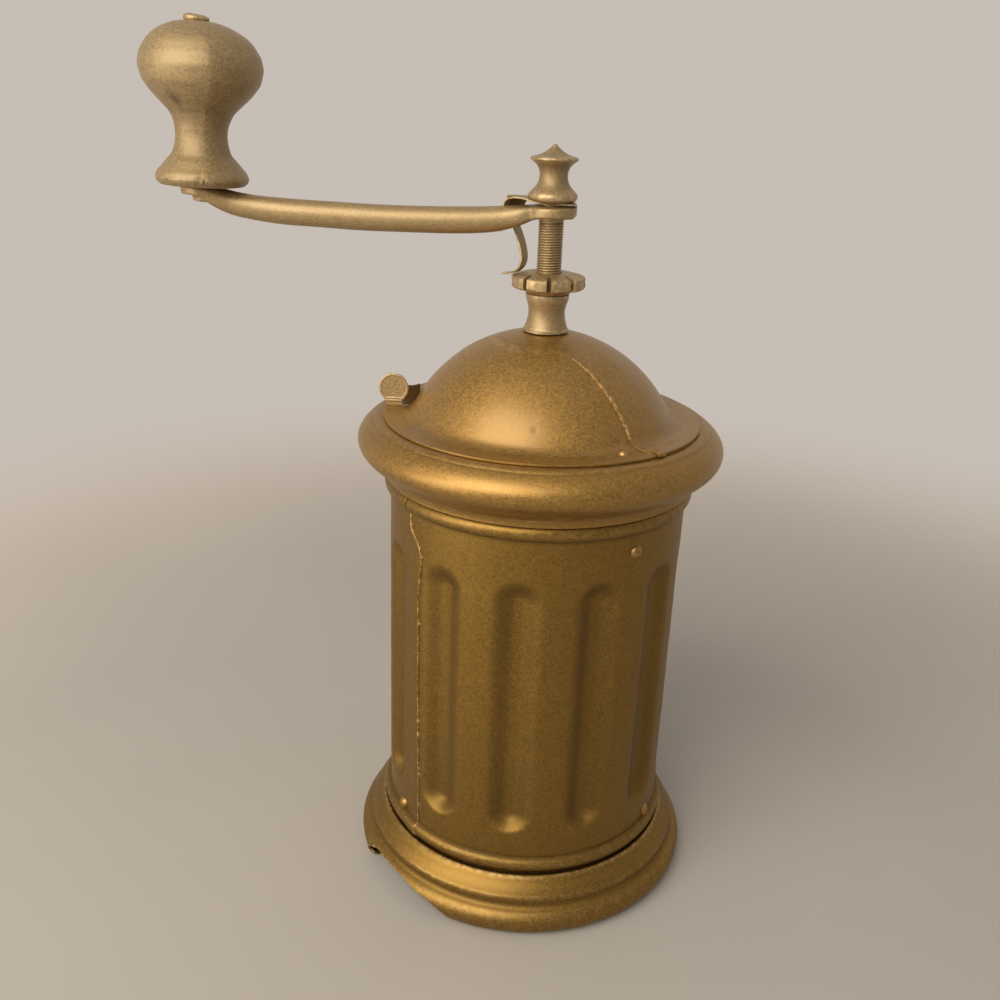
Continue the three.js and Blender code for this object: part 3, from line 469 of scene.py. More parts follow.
def finish(name, group, values, metallic=None, bump=0.3, depth=0.08, lacquer=0.0):
    # a material round one of the coats; depth is the relief's in millimetres
    material = bpy.data.materials.new(name)
    material.use_nodes = True
    n = nodeTools(material.node_tree)
    surface = material.node_tree.nodes["Principled BSDF"].inputs
    coat = n.make("Group", node_tree=group)
    for key, value in values.items():
        coat.inputs[key].default_value = value
    n.feed(surface["Base Color"], coat.outputs["Color"])
    n.feed(surface["Roughness"], coat.outputs["Roughness"])
    n.feed(surface["Metallic"], coat.outputs["Metallic"] if metallic is None else metallic)
    n.feed(surface["Coat Weight"], lacquer)
    n.feed(surface["Coat Roughness"], 0.3)
    relief = n.make("Bump", Strength=bump, Distance=depth * mm)
    n.feed(relief.inputs["Height"], coat.outputs["Height"])
    n.feed(surface["Normal"], relief.outputs["Normal"])
    return material


paint = sprayedCoat(paintValues)
bare = plainCoat(plainValues)
sheetLook = dict(Gold=(0.34, 0.195, 0.046, 1), Shade=(0.085, 0.05, 0.014, 1),
                 Pale=(0.6, 0.44, 0.22, 1))
# the cast and wood parts' gold is paler and greyer: partly their own tone, partly painted light,
# the glare's pale haze over the upper parts
castHazeLook = dict(Gold=(0.38, 0.27, 0.13, 1), Shade=(0.11, 0.07, 0.028, 1),
                Pale=(0.62, 0.49, 0.3, 1))
# the column's and foot's gold is darker than the other sheet parts', as painted shade for the dark
# room round them
goldSheetShaded = finish("goldSheetShaded", paint, dict(
    sheetLook, Gold=(0.25, 0.148, 0.036, 1), Grain=2400.0, Mottle=75.0, Rough=0.38, Wear=0.5,
    Metal=0.97), bump=0.25)
goldRing = finish("goldRing", paint, dict(
    sheetLook, Grain=2200.0, Mottle=110.0, Rough=0.38, Wear=0.45, Metal=0.94),
    bump=0.22, depth=0.12, lacquer=0.3)
goldDome = finish("goldDome", paint, dict(
    sheetLook, Grain=1700.0, Mottle=150.0, Rough=0.45, Wear=0.9, Metal=0.88),
    bump=0.2, depth=0.14, lacquer=0.5)
goldCast = finish("goldCast", paint, dict(
    castHazeLook, Grain=2800.0, Mottle=260.0, Rough=0.42, Wear=0.7, Metal=0.78),
    bump=0.4, depth=0.14, lacquer=0.3)
goldWood = finish("goldWood", paint, dict(
    castHazeLook, Gold=(0.34, 0.245, 0.12, 1), Grain=2000.0, Mottle=150.0, Rough=0.5, Wear=0.5,
    Metal=0.74), bump=0.4, depth=0.14, lacquer=0.3)
tinSheet = finish("tinSheet", bare, dict(
    Metal=(0.46, 0.44, 0.4, 1), Stain=(0.34, 0.31, 0.26, 1), Cloud=55.0, Scratch=1400.0,
    Rough=0.32), metallic=0.85)
ironCast = finish("ironCast", bare, dict(
    Metal=(0.09, 0.085, 0.08, 1), Stain=(0.1, 0.045, 0.02, 1), Cloud=140.0, Scratch=2600.0,
    Rough=0.5), metallic=0.75, depth=0.14)
steelBar = finish("steelBar", bare, dict(
    Metal=(0.42, 0.41, 0.39, 1), Stain=(0.12, 0.07, 0.04, 1), Cloud=180.0, Scratch=2200.0,
    Rough=0.34), metallic=0.9)
print("finishes made")


rivetValues = dict(
    radius=2.0, height=1.3, sink=0.5, reach=44.85,
    dimple=0.22, dimpleWidth=3.4,    # the sheet drawn in round each rivet
    rows=dict(socket_rivet=(24.1, (-57, 63, 183)), bracket_rivet=(121.4, (39.3, 150, 260))),
)
columnValues = dict(
    radius=45, sheet=0.7, innerLeast=41.65, floor=15.35, top=132, uneven=0.05,
    flutes=12, fluteTurn=-4.6, fluteHalf=7.7, fluteDepth=2.65, fluteFlat=0.1,
    fluteLow=28.8, fluteHigh=115.3,
    bowlDepth=0.4, bowlTop=52, bowlFade=14, bowlBrim=0.3,    # the troughs' deeper lower ends
    beadLow=20, beadHigh=129.5, beadHalf=2.3, beadHeight=1.8,
    # the lapped seam: its middle turn, how far it wanders at given heights, its step, the lap's
    # width in degrees, and the slit above it
    seamTurn=-46, seamHeights=(22, 35, 67, 101, 114.3, 118.4, 121.8, 126),
    seamShifts=(0.8, 1.0, 0.1, -0.2, 1.5, -0.3, -4.8, -6.2),
    seamStep=0.42, seamLap=7, seamTop=126.5, slitLow=125.6, slitDepth=1.3,
    rubbed=(-53, 21.5, 1.4, 2.2),                      # turn, height, half widths
    pits=((14.9, 123.3, 0.9), (5.3, 97.5, 0.6)),       # turn, height, size
)


def seamAt(height, v):
    # the seam's turn at a height: its wander and a little raggedness
    ragged = (0.12 * np.sin(height * 1.1) + 0.1 * np.sin(height * 2.9 + 1)
              + 0.06 * np.sin(height * 6.1))
    return v["seamTurn"] + np.interp(height, v["seamHeights"], v["seamShifts"]) + ragged


def columnRadius(turn, height, v):
    # radius = plain + beads - troughs with half-round ends - dimples round rivets + lap of the seam
    pitch, half = 360 / v["flutes"], v["fluteHalf"]
    off = (turn - v["fluteTurn"] + pitch / 2) % pitch - pitch / 2
    aside = np.radians(off) * v["radius"]
    under, over = v["fluteLow"] + half - height, height - v["fluteHigh"] + half
    reach = np.minimum(np.hypot(aside, np.maximum(np.maximum(under, over), 0)) / half, 1)
    bowl = clamped(under / half)
    flat, brim = v["fluteFlat"] * (1 - bowl), 1 - v["bowlBrim"] * bowl
    trough = 1 - eased((reach - flat) / (brim - flat))
    depth = v["fluteDepth"] + v["bowlDepth"] * eased((v["bowlTop"] - height) / v["bowlFade"])
    bead = sum(np.sqrt(np.maximum(0, 1 - ((height - v[k]) / v["beadHalf"]) ** 2))
               for k in ("beadLow", "beadHigh"))
    radius = v["radius"] + v["beadHeight"] * bead - depth * trough

    past = seamAt(height, v) - turn
    belowTop = clamped((v["seamTop"] - height) / 4)
    lap = clamped(past / 0.35 + 0.5) * clamped((v["seamLap"] - past) / (0.6 * v["seamLap"]))
    slit = bell(past, 0.3) * clamped(height - v["slitLow"])
    radius = radius + v["seamStep"] * lap * (1 - 0.6 * trough) * belowTop - v["slitDepth"] * slit
    rivets = rivetValues
    for level, turns in rivets["rows"].values():
        for k in turns:
            off = np.radians((turn - k + 180) % 360 - 180) * v["radius"]
            dimple = bell(np.hypot(off, height - level), rivets["dimpleWidth"])
            radius = radius - rivets["dimple"] * dimple

    # the masks: a dark crack along the seam, rubbed paint beside it, small pits, painted shade in
    # the slit and a painted highlight along the lap's edge
    nearTop = clamped((v["seamTop"] + 0.5 - height) / 3)
    crack = bell(past + 0.14, 0.2) * clamped((height - 22) / 3)
    for k, level, size in v["pits"]:
        away = np.hypot(np.radians(turn - k) * v["radius"], height - level)
        crack = crack + bell(away, size * math.sqrt(0.3))
    spotTurn, spotHeight, wide, high = v["rubbed"]
    spot = bell(turn - spotTurn, wide) * bell(height - spotHeight, high)
    scuff = np.maximum(0.62 * bell(past, 0.6) * nearTop, 0.75 * spot)
    # painted shade in the slit, with the crack and pits as dark marks of their own
    dark = clamped(np.maximum(slit, 0.45 * crack))
    # painted highlight along the lap's edge
    lipHighlight = 5 * bell(past - 0.3, 0.17) * nearTop
    return radius, trough, scuff, dark, lipHighlight


def columnGrid(v):
    # turns are closer together across the troughs and at the seam, heights at beads and trough ends
    half, pitch = math.degrees(v["fluteHalf"] * 1.04 / v["radius"]), 360 / v["flutes"]
    within = np.r_[np.linspace(-half, half, 27), np.linspace(half, pitch - half, 8)[1:-1]]
    turns = np.concatenate([v["fluteTurn"] + pitch * k + within for k in range(-6, 6)])
    beside = np.linspace(0.9, 1.6, 3)
    near = v["seamTurn"] + np.r_[-beside[::-1], np.linspace(-0.7, 0.7, 15), beside]
    turns = np.sort(np.r_[turns[np.abs(turns - v["seamTurn"]) > 1.8], near])
    ends = np.r_[np.linspace(-1.3, 9, 26), np.linspace(9, 20, 8)[1:]]
    bead = np.linspace(-2.4, 2.4, 19)
    heights = np.concatenate([
        [v["floor"]], v["beadLow"] + bead, np.linspace(22.6, 29, 12), v["fluteLow"] + ends,
        np.linspace(52, 93, 50), (v["fluteHigh"] - ends)[::-1], np.linspace(116.5, 126.6, 17),
        v["beadHigh"] + bead, [v["top"]]])
    heights = np.unique(np.round(heights, 3))
    T, Z = np.broadcast_arrays(turns[None, :], heights[:, None])
    # the columns near the seam are drawn along with it, by a share that fades over 11 degrees
    fade = clamped((11 - np.abs(T - v["seamTurn"])) / 9)
    return T + (seamAt(Z, v) - v["seamTurn"]) * fade, Z


def makeColumn(v):
    T, Z = columnGrid(v)
    outer, trough, scuff, dark, lipHighlight = columnRadius(T, Z, v)
    outer = outer + softNoise(T, Z, 3, v["uneven"])
    innerRows = np.linspace(0, len(Z) - 1, 46).round().astype(int)
    inner = np.maximum(outer[innerRows] - v["sheet"], v["innerLeast"])

    def both(outside, inside):
        # the outside from the top down, then the inside from the bottom up
        return np.vstack([outside[::-1], inside])

    grid = aroundAxis(both(outer, inner), both(T, T[innerRows]), both(Z, Z[innerRows]))
    wall = clamped(4 * trough * (1 - trough))
    # painted shade where the beads meet the sheet, on the troughs and their walls and in the slit,
    # where the seam's crack and pits darken too, and the beads' tops are rubbed
    beadShade = bell(Z - v["beadLow"] - 2.4, 0.8) + bell(Z - v["beadHigh"] + 2.3, 0.8)
    tops = bell(Z - v["beadLow"] - 0.6, 1.2) + bell(Z - v["beadHigh"] - 0.3, 1.0)
    hollow = clamped(0.3 * wall + 0.2 * trough + 0.6 * beadShade + dark)
    proud = clamped(tops - dark)
    proud = np.maximum(0.45 * proud, lipHighlight)
    rest = np.zeros(inner.shape)
    # the inside gets painted shade all over
    masks = dict(hollow=both(hollow, rest + 0.3), proud=both(proud, rest), scuff=both(scuff, rest))
    return makePiece("fluted_column", grid, "column", goldSheetShaded, "column_body", masks,
                     closeRows=True, crease=50)


def makeRivets(v):
    # a flattened dome on its side, each one turned, squashed and sunk a little differently
    radius, height, neck = v["radius"], v["height"], v["radius"] * 0.96
    dome = outlineOf([
        [(0, height), (0.9, height * 0.92), (1.5, height * 0.62), (radius, 0.1)],
        [(radius, 0.1), (neck, -v["sink"])],
        [(neck, -v["sink"]), (0, -v["sink"])],
    ], 0.12)
    # painted shade in the hollows under each head
    hollow, proud = bends(dome, 0.8)
    for name, (level, turns) in v["rows"].items():
        for k in range(3):
            grid = sweep(dome, turnSteps(40))
            grid *= np.array([rng.uniform(0.93, 1.02), rng.uniform(0.93, 1.02),
                              rng.uniform(0.85, 1.0)])
            grid = placed(grid, lean=90 + rng.uniform(-5, 5), at=(0, -v["reach"], 0))
            grid = placed(grid, turn=turns[k], at=(0, 0, level))
            makePiece(f"{name}_head_{k + 1}", grid, "column", goldRing,
                      f"{name}_{k + 1}", dict(hollow=hollow, proud=proud))


makeColumn(columnValues)
makeRivets(rivetValues)
print("column made")


footValues = dict(
    sheet=0.8, roll=4.5, rollMiddle=50.17, curl=3.9, uneven=0.06, tear=0.3,
    # the notch: its roof, and how far it is open to the left and to the right at given heights
    notchTop=7.6, notchHeights=(0, 1.5, 3, 4.5, 5.3, 5.9, 6.5, 7.2, 7.6),
    notchRight=(-20.5, -22, -24, -26.2, -28.7, -32.3, -36.3, -40.5, -46),
    notchLeft=(-65.5, -66.2, -65.6, -64.6, -63.8, -63, -62, -60.8, -60),
    around=300, across=26,    # columns of the grid outside and inside the notch
)


def makeFoot(v):
    # One pressed sheet: shelf, raised rim, sloping shoulder, two grooves with a bead between, and
    # the roll that curls on inside. The finger notch is a second block of columns that is left out
    # below its roof, between the two turns that notchLeft and notchRight give for each height.
    outline = outlineOf([
        [(41.5, 15.2), (45.5, 15.2)],
        [(45.5, 15.2), (45.75, 16.2), (46.15, 17.0), (46.7, 17.3), (47.45, 16.85), (48.4, 15.65),
         (49.4, 14.5), (50.2, 13.4), (50.65, 12.7)],
        [(50.65, 12.7), (51.05, 12.15), (51.22, 11.3), (51.2, 10.5), (51.2, 9.9), (51.42, 9.25),
         (52.03, 8.61)],
        arcPoints(v["rollMiddle"], v["roll"], v["roll"], 66, -90, 28),
        arcPoints(v["rollMiddle"], v["curl"], v["curl"], -90, -225, 20),
    ], 0.35)
    radius, z = outline[:, 0], outline[:, 1]
    rowTop = int(np.argmin(np.abs(z - v["notchTop"]) + 10 * (radius < 51)))
    below = np.arange(len(z)) >= rowTop
    level = np.where(below, np.minimum(z, v["notchTop"]), v["notchTop"])
    right = np.interp(level, v["notchHeights"], v["notchRight"]) + 0.3 * below * np.sin(z * 2.3)
    left = np.interp(level, v["notchHeights"], v["notchLeft"]) + 0.5 * below * np.sin(z * 1.7 + 1)
    below, right, left = below[:, None], right[:, None], left[:, None]
    first = right + (left + 360 - right) * np.linspace(0, 1, v["around"] + 1)[None, :-1]
    second = left + (right - left) * np.linspace(0, 1, v["across"] + 1)[None, :-1]
    T = np.hstack([first, second + 360])
    inNotch = np.broadcast_to(np.arange(T.shape[1]) >= v["around"], T.shape)
    R, Z = radius[:, None] + 0 * T, z[:, None] + 0 * T
    R = R + softNoise(T, Z, 5, v["uneven"]) * clamped((15 - Z) / 3)
    offLeft = (T - left + 180) % 360 - 180
    offRight = (T - right + 180) % 360 - 180
    # the torn left end stands out, and the roof's sheet is drawn down a little at its two ends
    torn = bell(offLeft, 1.8) * below
    R = R + v["tear"] * torn * clamped((9 - Z) / 4)
    Z = Z - v["tear"] * torn * clamped((Z - 4) / 4)
    hollow, proud = bends(outline, 1.4)
    edge = bell(offRight, 1.1) * (below & (radius > 49)[:, None])
    edge = np.maximum(edge, 1.2 * torn)
    edge = np.maximum(edge, bell(Z - v["notchTop"], 0.6) * inNotch)
    # painted shade in the foot's creases; the notch's edges are rubbed pale
    masks = dict(hollow=0.45 * hollow, proud=clamped(np.maximum(proud, edge)),
                 scuff=clamped(0.6 * edge))
    return makePiece("stepped_foot", aroundAxis(R, T, Z), "base", goldSheetShaded,
                     "foot_ring", masks, keep=~(inNotch & below), sheet=v["sheet"],
                     normals=turnedNormals(outline, T), rim=0.25, crease=45)


makeFoot(footValues)
print("foot made")


ringValues = dict(
    landInner=39.5, landTop=149.2, collar=46.6, foot=131.7, sheet=0.8, uneven=0.06,
    swell=11, reach=28.38, middle=26.3, level=142.5, low=-37, foldOuter=50.6,    # the oval side
    rubbed=(134.1, 1.3),                                # height and half width of the scratches
)


def makeRing(v):
    # a flat land, a fold, the upper and outer side of an oval torus, and a fillet to the collar
    top = math.degrees(math.acos((v["foldOuter"] - v["middle"]) / v["reach"]))
    a = np.radians(np.linspace(top, v["low"], 40))
    side = np.stack([v["middle"] + v["reach"] * np.cos(a), v["level"] + v["swell"] * np.sin(a)],
                    axis=1)
    outline = outlineOf([
        [(v["landInner"], v["landTop"]), (47.7, v["landTop"])],
        [(47.7, v["landTop"]), (48.8, 149.14), (49.6, 148.9), (50.1, 148.5)],
        [(50.1, 148.5), (50.35, 148.22), side[0]],
        side,
        [side[-1], (47.75, 134.95), (47.0, 133.95), (46.66, 132.9), (v["collar"], v["foot"])],
    ], 0.4)
    turns = turnSteps(320, -180)
    grid = sweep(outline, turns)
    T, Z = np.broadcast_arrays(turns[None, :], outline[:, 1:])
    grid[..., :2] *= (1 + softNoise(T, Z, 8, v["uneven"]) / 54)[..., None]
    # painted shade in the ring's hollows, less of it below the swell
    hollow, proud = bends(outline, 1.2)
    hollow = np.where(outline[:, 1:] < 137, 0.3 * hollow, hollow)
    below = (outline[:, :1] < 49.5) & (outline[:, 1:] < 138)
    level, high = v["rubbed"]
    rubbed = bell(Z - level, high) * (np.exp(-((T - 3) / 20) ** 4) + 0.8 * bell(T + 36, 6)) * below
    masks = dict(hollow=hollow, proud=proud, lines=clamped(rubbed))
    return makePiece("swelling_ring", grid, "column", goldRing, "top_ring", masks,
                     sheet=v["sheet"], rim=0.25, crease=45)


makeRing(ringValues)
print("ring made")


domeValues = dict(
    middle=132.2, radius=42.9, fillet=4.4, flange=47.1, flangeLevel=149.95, sheet=0.6, hole=4.9,
    hatchStart=50, hatchEnd=140, hatchInner=15.5, hatchOuter=36.5,
    pitTurn=-2.9, pitReach=35.9, pitWidth=0.6, pitDepth=0.16,
)


def domeOutline(v, rise, hole, stops):
    # sphere, a fillet that touches it and the flange, and the flat flange, all rise above the dome;
    # the stops are radii above the fillet that get a row of their own
    radius, fillet = v["radius"] + rise, v["fillet"] - rise
    level = v["flangeLevel"] + v["fillet"]
    centre = math.sqrt((v["radius"] + v["fillet"]) ** 2 - (level - v["middle"]) ** 2)
    touch = math.degrees(math.atan2(level - v["middle"], centre))
    begin = math.degrees(math.acos(hole / radius))
    own = [math.degrees(math.acos(stop / radius)) for stop in stops]
    a = np.radians(np.unique(np.r_[np.linspace(begin, touch, 96), own])[::-1])
    sphere = np.stack([radius * np.cos(a), v["middle"] + radius * np.sin(a)], axis=1)
    turn = arcPoints(centre, level, fillet, 180 + touch, 270, 10)[1:]
    flat = np.stack([np.linspace(centre, v["flange"], 14)[1:], np.full(13, level - fillet)], axis=1)
    return np.vstack([sphere, turn, flat])


def makeDome(v):
    outline = domeOutline(v, 0, v["hole"], (v["hatchInner"], v["hatchOuter"]))
    turns = np.r_[turnSteps(300), v["hatchStart"], v["hatchEnd"]]
    turns = np.unique(np.round(turns, 4))
    grid = sweep(outline, turns)
    T, R = np.broadcast_arrays(turns[None, :], outline[:, :1])
    least = 1e-3    # a point on the hatch's first edges belongs to it, one on its last doesn't
    hatch = ((T >= v["hatchStart"] - least) & (T < v["hatchEnd"] - least)
             & (R >= v["hatchInner"] - least) & (R < v["hatchOuter"] - least))
    pitAt = aroundAxis(v["pitReach"], v["pitTurn"], 0)
    pit = bell(np.hypot(grid[..., 0] - pitAt[0], grid[..., 1] - pitAt[1]), v["pitWidth"])
    grid[..., 2] -= v["pitDepth"] * pit
    # painted shade in the dome's hollows and in the pit
    hollow, proud = bends(outline, 2.4)
    masks = dict(hollow=clamped(0.25 * hollow + 0.6 * pit), proud=0.6 * proud)
    return makePiece("fixed_dome", grid, "column", goldDome, "hopper_dome", masks,
                     keep=~hatch, sheet=v["sheet"], normals=turnedNormals(outline, turns),
                     rim=0.15, crease=45)


capValues = dict(
    rise=0.07, sheet=0.045, lift=0.42, plate=0.12,    # lift: how far the free edge stands up
    hole=6.65, middleTurn=-36.6, offset=9.2, eye=13.4, edge=39.56,
    taper=2, end=270,    # how far the flange's edge draws back, and where it ends, in degrees
    columns=(230, 26, 26),                            # of the grid, in its three blocks
    seamInner=19, seamOuter=38, seamHighlight=1.6,
)


def makeCap(v, dome):
    # Three blocks of columns. The first lies between the straight edge's two ends, whose half
    # opening at each radius is acos(offset / radius) about its middle, and is there from the eye to
    # the flange. The second carries the flange on to the tab, and it and the third close the eye.
    outline = domeOutline(dome, v["rise"], v["hole"], (v["eye"],))
    radius = outline[:, 0]
    inEye, onFlange = radius <= v["eye"] + 1e-3, radius >= v["edge"] - 1e-3
    half = np.degrees(np.arccos(v["offset"] / np.clip(radius, v["eye"], v["edge"])))
    start, end = v["middleTurn"] + half, v["middleTurn"] + 360 - half
    start = start + v["taper"] * clamped((radius - v["edge"]) / (dome["flange"] - v["edge"]))
    second = np.where(onFlange, v["end"], end + 0.4 * (start + 360 - end))
    ends = np.stack([start, end, second, start + 360], axis=1)
    turns = np.hstack([
        ends[:, k:k + 1] + (ends[:, k + 1:k + 2] - ends[:, k:k + 1])
        * np.linspace(0, 1, count + 1)[None, :-1] for k, count in enumerate(v["columns"])])
    R = radius[:, None] + 0 * turns
    # the free edge and the flange stand up, by a share that fades round the dome and to the eye
    free = eased((78 - turns) / 22) * eased((R - 16) / 7)
    plate = eased((R - 42) / 2)
    lift = v["lift"] * free * (1 - plate) + v["plate"] * plate
    normals = turnedNormals(outline, turns)
    grid = aroundAxis(R, turns, outline[:, 1:]) + normals * lift[..., None]
    closed = np.zeros(len(radius), bool)
    closed[:-1] = inEye[1:]
    keep = np.ones(turns.shape, bool)
    firstEnd, secondEnd = np.cumsum(v["columns"])[:2]
    keep[:, firstEnd:secondEnd] = (closed | onFlange)[:, None]
    keep[:, secondEnd:] = closed[:, None]
    # painted shade in the hollows, and a painted highlight along the seam at the cap's free edge
    hollow, proud = bends(outline, 2.4)
    seam = np.zeros(turns.shape)
    seam[:, :2] = v["seamHighlight"] * ((R[:, :2] > v["seamInner"]) & (R[:, :2] < v["seamOuter"]))
    masks = dict(hollow=0.25 * hollow, proud=np.maximum(0.6 * proud, seam))
    return makePiece("turning_cap", grid, "cap", goldDome, "filling_cap", masks,
                     keep=keep, sheet=v["sheet"] + 0.9 * lift, normals=normals, rim=0.07, crease=45)


tabValues = dict(
    stem=4.8, radius=4.45, reach=44.55, height=5.3, sheet=0.8, floor=150.2, face=0.8,
    pits=((-1.1, 0.9), (0.3, 0.4), (1.4, -0.6), (-0.5, -1.3), (0.9, 1.8), (-1.9, -0.4)),
    bendLines=(1.35, 2.15),                           # heights above the floor
    foldSheet=0.45, foldAside=2.6, foldLength=4.6, foldBack=3.4, foldHeight=6.4,
)


def makeTab(v):
    # a round disc on a narrow stem, one sheet: half the width grows along the stem into the circle
    up = np.linspace(2.6, v["height"] + v["radius"], 64)
    up = np.unique(np.r_[np.linspace(0, 2.6, 20), up])
    circle = np.sqrt(np.maximum(v["radius"] ** 2 - (up - v["height"]) ** 2, 0))
    stem = 0.5 * v["stem"] - 0.12 * up
    width = np.where(up < v["height"], np.maximum(circle, stem), circle)
    soft = np.convolve(np.pad(width, 3, mode="edge"), np.ones(3) / 3, mode="same")[3:-3]
    width = np.where((up > 1) & (up < 4), soft, width)
    aside = width[:, None] * np.linspace(-1, 1, 41)[None, :]
    U = up[:, None] + 0 * aside
    # the face: a raised rim round a field with small pits, and two bend lines across the stem
    away = np.hypot(aside, U - v["height"]) / v["radius"]
    rimBand = bell(away - 0.9, 0.06) * (U > 2.4)
    pits = sum(bell(np.hypot(aside - a, U - v["height"] - b), 0.34) for a, b in v["pits"])
    lines = sum(bell(U - level, 0.17) for level in v["bendLines"])
    between = bell(U - sum(v["bendLines"]) / 2, 0.2)
    Y = v["face"] - v["sheet"] - 0.12 * rimBand + 0.05 * pits - 0.22 * lines + 0.12 * between
    grid = np.stack([aside - v["reach"], Y, v["floor"] + U], axis=-1)
    # painted shade in the pits; the bend lines are paler, partly rubbed paint and partly painted
    # highlight
    masks = dict(hollow=clamped(0.15 * pits)[::-1], scuff=clamped(0.5 * lines)[::-1],
                 proud=clamped(0.9 * lines + 0.5 * rimBand)[::-1])
    makePiece("thumb_tab", grid[::-1], "cap", goldCast, (), masks, closeCols=False,
              sheet=v["sheet"], rim=0.15)
    # the fold: a low web from the back of the disc to the dome's side, given the shade colour all
    # over as painted shade
    t, u = np.linspace(0, 1, 14)[:, None], np.linspace(0, 1, 8)[None, :]
    X = v["foldAside"] - v["reach"] + v["foldLength"] * t + 0 * u
    Y = 1.0 + v["foldBack"] * t ** 1.5 + 0 * u
    Z = v["floor"] + 0.15 + (v["foldHeight"] - 0.7 * t - 0.4 * np.sin(np.pi * t)) * u
    web = np.stack([X, Y, Z], axis=-1)[:, ::-1]
    return makePiece("tab_fold", web, "cap", goldCast, (), dict(hollow=1.0),
                     closeCols=False, sheet=v["foldSheet"], rim=0.1)


clawValues = dict(turn=42.2, width=3.2, level=150.65, sheet=0.5)


def makeClaw(v, flange):
    # a short hook bent down over the flange's edge
    level = v["level"]
    path = curveThrough([(flange - 2.5, level), (flange - 0.2, level + 0.1),
                         (flange + 0.7, level - 0.15), (flange + 0.9, level - 0.9)], 0.15)
    grid = sweep(path, v["turn"] + np.linspace(0, v["width"], 15))
    return makePiece("flange_claw", grid, "cap", goldRing, (),
                     dict(proud=0.5, scuff=0.2), closeCols=False, sheet=v["sheet"], rim=0.15)


stopValues = dict(turn=33, reach=41.4, radius=1.6, sink=0.3, seat=149.95, height=1.1)


def makeStop(v):
    radius, height, sink = v["radius"], v["height"], v["sink"]
    dome = outlineOf([
        [(0, height), (0.8, height * 0.88), (1.35, height * 0.45), (radius, 0)],
        [(radius, 0), (radius, -sink)],
        [(radius, -sink), (0, -sink)],
    ], 0.12)
    grid = placed(sweep(dome, turnSteps(36)), at=aroundAxis(v["reach"], v["turn"], v["seat"]))
    # painted shade in the hollows under the head
    hollow, proud = bends(dome, 0.8)
    return makePiece("flange_rivet", grid, "column", goldRing, "stop_rivet",
                     dict(hollow=hollow, proud=proud))


makeDome(domeValues)
makeCap(capValues, domeValues)
makeTab(tabValues)
makeClaw(clawValues, domeValues["flange"])
makeStop(stopValues)
print("dome and cap made")


neckValues = dict(foot=174.97, top=185.77, rim=6.3, waist=5.3, skirt=6.62, socket=4.6, bore=3.7,
                  uneven=0.03)


def makeNeck(v):
    z, top, bore, socket, skirt = (v[k] for k in ("foot", "top", "bore", "socket", "skirt"))
    outline = outlineOf([
        [(bore, top), (v["rim"], top)],
        [(v["rim"], top), (v["rim"], top - 0.5), (6.05, z + 9.0), (5.6, z + 7.6),
         (v["waist"], z + 6.2), (v["waist"], z + 4.8), (5.55, z + 3.3), (6.05, z + 1.7),
         (6.35, z + 0.9)],
        [(6.35, z + 0.9), (skirt, z + 0.75), (skirt, z + 0.1)],
        [(skirt, z + 0.1), (socket, z), (socket, z - 4.9)],
        [(socket, z - 4.9), (bore, z - 4.9), (bore, top)],
    ], 0.22)
    return lathe("neck", outline, "column", goldCast, "neck_bearing", sides=72,
                 uneven=v["uneven"], seed=4)


threadValues = dict(
    radius=3.6, depth=0.34, pitch=0.73, low=184.5, high=206.9, foot=89.0,
    journal=2.9, journalTop=115.95, stub=3.0, stubFoot=206.72, stubTop=216.5,
)


def makeSpindle(v):
    # the thread's radius falls with the distance from a helix: a soft wave of height and turn
    turns = turnSteps(56)
    threaded = np.arange(v["low"], v["high"], v["pitch"] / 9)
    rise = np.unique(np.round(np.r_[np.linspace(v["foot"], v["low"], 30), threaded], 4))
    rise = rise[rise > v["journalTop"]][:, None]
    groove = 0.5 - 0.5 * np.cos(2 * np.pi * ((rise / v["pitch"] - turns[None, :] / 360) % 1))
    fade = clamped((rise - v["low"]) / 0.8) * clamped((v["high"] - 0.4 - rise) / 0.8)
    radius = v["radius"] - v["depth"] * groove ** 1.3 * fade
    low = np.array([[0, v["foot"]], [v["journal"], v["foot"]], [v["journal"], v["journalTop"]],
                    [v["radius"], v["journalTop"]]])
    top = np.array([[v["stub"], v["stubFoot"]], [v["stub"], v["stubTop"]], [0, v["stubTop"]]])
    grid = np.concatenate([sweep(low, turns), aroundAxis(radius, turns[None, :], rise),
                           sweep(top, turns)])
    # painted shade in the thread's groove, with its crests paler
    hollow = np.pad(groove * fade, ((len(low), len(top)), (0, 0)))[::-1]
    proud = clamped(0.9 - hollow * 2) * (hollow > 0)
    return makePiece("threaded_spindle", grid[::-1], "crank", goldCast, "spindle",
                     dict(hollow=0.7 * hollow, proud=proud), crease=60)


nutValues = dict(
    radius=10.6, foot=185.95, lugs=9, turn=1.5, slot=1.1, slotDepth=3.2, rough=0.07,
    # radius, height, and 1 where the slots cut in; a radius of 0 or less is counted from the rim
    rows=((3.7, 5.75, 0), (4.4, 6.0, 0), (5.6, 5.95, 0), (7.4, 5.65, 0), (8.6, 5.35, 1),
          (-0.5, 5.0, 1), (-0.05, 4.7, 1), (0, 4.0, 1), (0, 2.4, 1), (-0.1, 1.9, 1), (-0.6, 1.5, 1),
          (8.4, 1.3, 1), (7.2, 1.1, 0), (6.7, 0.5, 0), (6.3, 0, 0), (3.7, 0, 0)),
)


